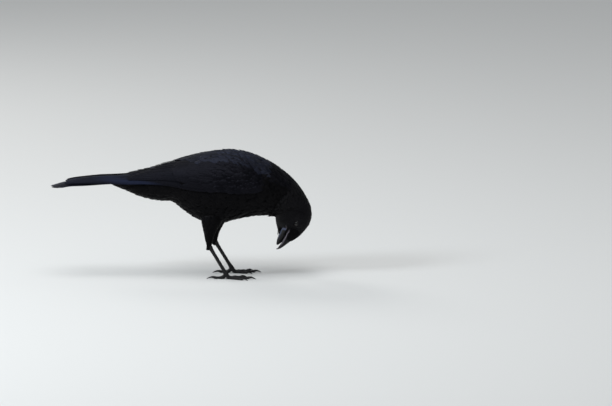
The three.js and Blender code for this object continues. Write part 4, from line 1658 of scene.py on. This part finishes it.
def inner_primary_feathers(name, sheet):
    """Three primaries whose ends show between the outer ones and the tail."""
    coat = Coat(67 + SIDES[name])
    for k, (tip, low_v, high_v, trail) in enumerate(INNER_PRIMARIES):
        x = lerp(-70, tip, np.linspace(0, 1, 25))[None]
        v = np.interp(x, [-231, -165, -70], [low_v, high_v, 0.5])
        coat.lay(
            sheet, x, v, 7.5, 0, 0, **LONG_VANE, blunt=0.9, waist=0.8, lead=0.40, trail=trail,
            shaft=0.2, tilt=0.06, cells=bake_cell(k, PRIMARIES, 1, 2),
            level=np.interp(x, [-190, -138, -70], [-1.5, -4.4, -5.0]),
        )
    coat.finish("inner_primary_feathers_" + name, "tail", "flight_feathers")


def primary_feathers(name, sheet):
    """They come out from under the secondaries and reach almost to the end of the tail."""
    coat = Coat(61 + SIDES[name])
    outer = np.arange(PRIMARIES) / (PRIMARIES - 1)
    tips = np.interp(outer, np.linspace(0, 1, 5), [-180, -198, -213, -225, -231])
    half = 7.5
    s = np.linspace(0, 1, 25)
    for k in range(PRIMARIES):
        x = lerp(lerp(-60, -8, outer[k]), tips[k], s)
        low = lerp(PRIMARY_LINES[:, 1], PRIMARY_LINES[:, 2], outer[k])
        v = np.interp(x, PRIMARY_LINES[:, 0], low)
        v = v - half * 0.36 * np.minimum(1, 1.6 - s) / wing_chord(x)
        level = -2.7 * (1 - smooth(-x, 138, 190)) - 0.7
        coat.lay(
            sheet, x[None], v[None], half, 0, 0, **LONG_VANE, blunt=1.3, waist=0.8, lead=0.36,
            trail=1.2, shaft=0.3, tilt=0.10, cells=bake_cell(k, PRIMARIES, 0, 2), level=level[None],
        )
    coat.finish("primary_feathers_" + name, "primary", "flight_feathers", ("primaries_" + name,))


def make_wing(name):
    sheet = wing_sheet(SIDES[name])
    wing_arm(name, sheet)
    small_coverts(name, sheet)
    great_coverts(name, sheet)
    shoulder_feathers(name, sheet)
    secondary_feathers(name, sheet)
    inner_primary_feathers(name, sheet)
    primary_feathers(name, sheet)


# ---------------------------------------------------------------- tail
# x and z of the top of the tail.
TAIL_LINE = np.array([
    [-108, 151.5], [-150, 151.8], [-185, 151.2], [-220, 149.2], [-236, 146], [-252.5, 141.6],
], float)
TAIL_ROOT, TAIL_TIP = TAIL_LINE[0, 0], TAIL_LINE[-1, 0]
TAIL_SHORTER = (0, 1, 2.5, 5, 8.5, 14)  # how much each pair is shorter, from the middle out


def tail_point(x, y):
    """The top of the tail, bowed from side to side, and running on past its end."""
    x, y = np.broadcast_arrays(np.asarray(x, float), np.asarray(y, float))
    top = rows_at(TAIL_LINE, np.clip(x, TAIL_TIP, TAIL_ROOT))[..., 1]
    bow = np.interp(x, [-225, -190], [0.0062, 0.0078]) * y * y
    return np.stack([x, y, top - bow + np.minimum(x - TAIL_TIP, 0) * 0.2], -1)


def make_tail():
    """Feathers in pairs. The middle pair lies on top, and each pair under the one inside it."""
    sheet = Sheet(tail_point, 0.5, 0.5)
    coat = Coat(71)
    s = np.linspace(0, 1, 21)
    half, pairs = 11.5, len(TAIL_SHORTER)
    for pair in reversed(range(pairs)):
        outside, inside, shift = (5.2, 10.5, 0) if pair else (9.5, 9.5, 0.8)
        for hand in SIDES.values():
            spread = (11 + pair * 2.0 - outside) * lerp(0.45, 1.0, smooth(s, 0, 0.85))
            lead, trail = (outside, inside) if hand > 0 else (inside, outside)
            drop = 0.3 + 0.56 * pair + (0.3 if hand < 0 else 0.0)
            x = lerp(-100, TAIL_TIP + TAIL_SHORTER[pair], s)
            coat.lay(
                sheet, x[None], (hand * (spread + shift))[None], half, 0, 0, GRID_FLIGHT, rise=1.0,
                blunt=0.85, waist=0.7, lead=lead / half, trail=trail / half, camber=0.02,
                thick=0.45, shaft=0.35, cells=bake_cell(pair * 2 + (hand < 0), pairs * 2),
                level=np.full((1, len(s)), -drop),
            )
    coat.finish("tail_feathers", "tail", "flight_feathers", ("tail",))


# ---------------------------------------------------------------- legs and feet
# Share of the way from heel to ankle, half length fore and aft, half width.
SHANK_ROWS = (
    (-0.04, 2.6, 2.6), (0.05, 3.6, 3.3), (0.2, 2.7, 2.3), (0.55, 2.5, 2.0),
    (0.85, 2.7, 2.3), (0.97, 3.5, 3.3), (1.07, 3.1, 3.0),
)


def scutes(count, corners, length, spacing, front, depth):
    """Overlapping plates down one face of a limb, and a net of small scales on the other."""
    along = np.linspace(0, length, count)[:, None]
    angle = np.arange(corners)[None] / corners * TURN
    facing = smooth(np.cos(angle - front), 0.05, 0.45)
    saw = (along / spacing) % 1.0
    plate = depth * (0.35 + 0.65 * (1 - (1 - saw) ** 6)) * (1 - smooth(saw, 0.93, 1.0))
    beads = depth * 0.4 * np.sin(along / spacing * TURN * 1.7 + angle * 3) * np.sin(angle * 7)
    return facing * plate + (1 - facing) * beads


def make_shank(name):
    """The bare shank, with plates down its front."""
    heel, ankle = (np.array(FEET[name][end], float) for end in ("heel", "ankle"))
    rows = [[*lerp(heel, ankle, share), fore, wide] for share, fore, wide in SHANK_ROWS]
    rings, corners = 150, 28
    shape = scutes(rings, corners, 54, 5.2, math.pi, 0.34)
    shank = Shells()
    shank.add(limb_rings(fine_rows(rows, rings), corners, shape))
    shank.finish("shank_" + name, "leg", "leg_skin", ("tarsus_" + name,))


def on_ground(rings):
    """The rings, with what would be under the ground pressed flat on it."""
    rings[..., 2] = np.maximum(rings[..., 2], 0.0)
    return rings


def toe_way(name, toe):
    """The way a toe points on the ground, and a place over it by its reach and height."""
    heading = math.radians(SIDES[name] * (toe["turn"] + TOE_OUT))
    ahead = np.array([math.cos(heading), math.sin(heading)])
    ankle = np.array(FEET[name]["ankle"][:2], float)

    def spot(reach, height):
        return [*(ankle + ahead * reach), height]

    return ahead, spot


def toe_rings(name, toe):
    """A toe that swells at its joints, with plates on top."""
    ahead, spot = toe_way(name, toe)
    length, thick, swells = toe["length"], toe["thick"], toe["joints"] * 2
    rows = [[*spot(0.5, 6.2), thick, thick]]
    for j in range(swells + 1):
        share = (j + 0.6) / (swells + 0.6)
        half = thick * (1 - 0.3 * share) * (0.86 if j % 2 else 1.04)
        rows.append([*spot(lerp(1.5, length, share), half - FLAT), half, half])
    count = 90 if length > 20 else 60
    fine = fine_rows(rows, count)
    fine = np.concatenate([fine, fine[-1:] + [*(ahead * 0.8), 0, -0.6, -0.6]])
    return on_ground(limb_rings(fine, 24, scutes(count + 1, 24, length, 2.7, 0.0, 0.2)))


def claw_rings(name, toe):
    """A claw that rises from the end of its toe and comes down to a point."""
    _, spot = toe_way(name, toe)
    thick, sunk = toe["thick"], 1.6
    rows = []
    for s in np.linspace(0, 1, 17):
        half = 0.6 * thick * (1 - s) ** 0.75 + 0.35 * (1 - 0.4 * s)
        height = lerp(0.7 * thick - FLAT, 0.3, s) + 2.2 * math.sin(math.pi * s) * (1 - 0.4 * s)
        reach = toe["length"] - sunk + (toe["claw"] + sunk) * s
        rows.append([*spot(reach, height), half, half * 0.75])
    return on_ground(limb_rings(fine_rows(rows, 34), 16))


def make_toes(name):
    toes, claws = Shells(), Shells()
    for toe in TOES.values():
        toes.add(toe_rings(name, toe))
        claws.add(claw_rings(name, toe), pale=0.0)
    toes.finish("toes_" + name, "leg", "leg_skin", tuple(f"toe_{t}_{name}" for t in TOES))
    claws.finish("claws_" + name, "claw", "horn", tuple(f"claw_{t}_{name}" for t in TOES))


def make_thigh_feathers(name):
    """The coat of a thigh, small and loose at its end."""
    sheet = thigh_sheet(FEET[name])
    coat = Coat(81 + SIDES[name])
    rng = coat.rng

    def size_at(u):
        return np.interp(u, [0, 3, 7], [2.2, 3.6, 5.6])

    def spacing(u, angle):
        return size_at(u) * 0.95

    def keep(u, angle, p):
        return u > 0.1

    u, a = scatter(sheet, 0.1, 6.6, -math.pi, math.pi, spacing, keep, rng, (60, 60))
    size, count = size_at(u), len(u)
    heading, length = rng.normal(0.0, 0.12, count), size * rng.uniform(2.8, 3.6, count)
    tip = rng.uniform(0.1, 0.6, count)
    coat.lay(
        sheet, *march(sheet, u, a, heading, length), size * 0.95, -1.6 * size / 5, tip,
        GRID_BODY, ragged=0.12, camber=0.1, thick=0.26,
    )
    coat.finish("thigh_feathers_" + name, "soot", "plumage")


# ---------------------------------------------------------------- the crow
# Rows of the body where one coat ends and the next begins.
TO_BACK, TO_NAPE, TO_NECK, TO_HEAD = 3.2, 10.4, 12.6, 14.6
# Name, finish, from row, to row, where, seed, how ragged, grid, how uneven, how puffed up.
BODY_COATS = (
    ("rump_feathers", "wing", -0.15, TO_BACK, BACK, 101, 0.05, GRID_BODY, 0.07, 1.0),
    ("vent_feathers", "soot", 0.0, TO_BACK, BELLY, 102, 0.10, GRID_BODY, 0.10, 1.0),
    ("back_feathers", "mantle", TO_BACK, TO_NAPE, BACK, 103, 0.03, GRID_BODY, 0.08, 1.0),
    ("belly_feathers", "soot", TO_BACK, TO_NAPE, BELLY, 104, 0.09, GRID_BODY, 0.11, 2.4),
    ("nape_feathers", "wing", TO_NAPE, TO_NECK, BACK, 107, 0.05, GRID_BODY, 0.09, 1.0),
    ("throat_feathers", "soot", TO_NAPE, TO_NECK, BELLY, 108, 0.08, GRID_BODY, 0.10, 1.0),
    ("neck_feathers", "face", TO_NECK, TO_HEAD, None, 105, 0.06, GRID_BODY, 0.10, 1.0),
    ("head_feathers", "face", TO_HEAD, LAST_ROW, None, 106, 0.22, GRID_SMALL, 0.12, 1.0),
)

make_skin()
for coat in BODY_COATS:
    body_feathers(*coat)
forward_feathers("nasal_bristle_feathers", BRISTLE_ROWS, BRISTLE_GROUPS, 41, ("nasal_bristles",))
forward_feathers("chin_feathers", CHIN_ROWS, CHIN_GROUPS, 43)
make_bristles()
make_upper_mandible()
make_lower_mandible()
for hand in SIDES:
    make_eye(hand)
    make_wing(hand)
    make_shank(hand)
    make_toes(hand)
    make_thigh_feathers(hand)
make_tail()


# ---------------------------------------------------------------- floor, light, camera
def make_floor():
    reach = 14.0
    corners = [(-reach, -reach, 0), (reach, -reach, 0), (reach, reach, 0), (-reach, reach, 0)]
    mesh = bpy.data.meshes.new("floor")
    mesh.from_pydata(corners, [], [(0, 1, 2, 3)])
    mesh.materials.append(Paint("pale_floor").surface((0.62, 0.62, 0.60), 0.9))
    add_object("floor", mesh)


def light_room():
    """Soft light from all round, which shows darker in gloss."""
    world = bpy.data.worlds.new("studio")
    bpy.context.scene.world = world
    world.use_nodes = True
    nodes, links = world.node_tree.nodes, world.node_tree.links
    background = nodes["Background"]
    background.inputs["Color"].default_value = (0.93, 0.96, 1.0, 1.0)
    ray = nodes.new("ShaderNodeLightPath")
    dim = nodes.new("ShaderNodeMapRange")
    dim.inputs["To Min"].default_value = 0.52
    dim.inputs["To Max"].default_value = 0.24
    links.new(ray.outputs["Is Glossy Ray"], dim.inputs["Value"])
    links.new(dim.outputs["Result"], background.inputs["Strength"])


# Place and aim in metres, size, watts, colour.
LAMPS = {
    "sky": ((-0.3, -0.6, 2.6), (0.0, 0.0, 0.1), 1.8, 38, (0.95, 0.97, 1.0)),
    "rim": ((-1.6, 1.8, 1.6), (0.0, 0.0, 0.12), 1.2, 22, (1.0, 1.0, 1.0)),
    "side": ((-1.75, -0.95, 1.3), (0.1, 0.0, 0.1), 0.6, 26, (0.86, 0.93, 1.0)),
}


def make_lamp(name, place, aim, size, power, colour):
    data = bpy.data.lights.new(name, "AREA")
    data.shape = "DISK"
    data.size = size
    data.energy = power
    data.color = colour
    lamp = add_object(name, data)
    lamp.location = place
    lamp.rotation_euler = (Vector(aim) - Vector(place)).to_track_quat("-Z", "Y").to_euler()


def place_camera():
    """A long lens on the crow's right, looking a little down."""
    target, distance, down = Vector((0.1919, 0.0, 0.114)), 7.85, math.radians(10)
    data = bpy.data.cameras.new("camera")
    data.lens = 300
    data.sensor_width = 36
    data.clip_end = 100
    camera = add_object("camera", data)
    camera.location = target + Vector((0, -math.cos(down), math.sin(down))) * distance
    camera.rotation_euler = (math.pi / 2 - down, 0, 0)
    bpy.context.scene.camera = camera


make_floor()
light_room()
for name, values in LAMPS.items():
    make_lamp(name, *values)
place_camera()
bpy.context.scene.view_settings.view_transform = "Standard"
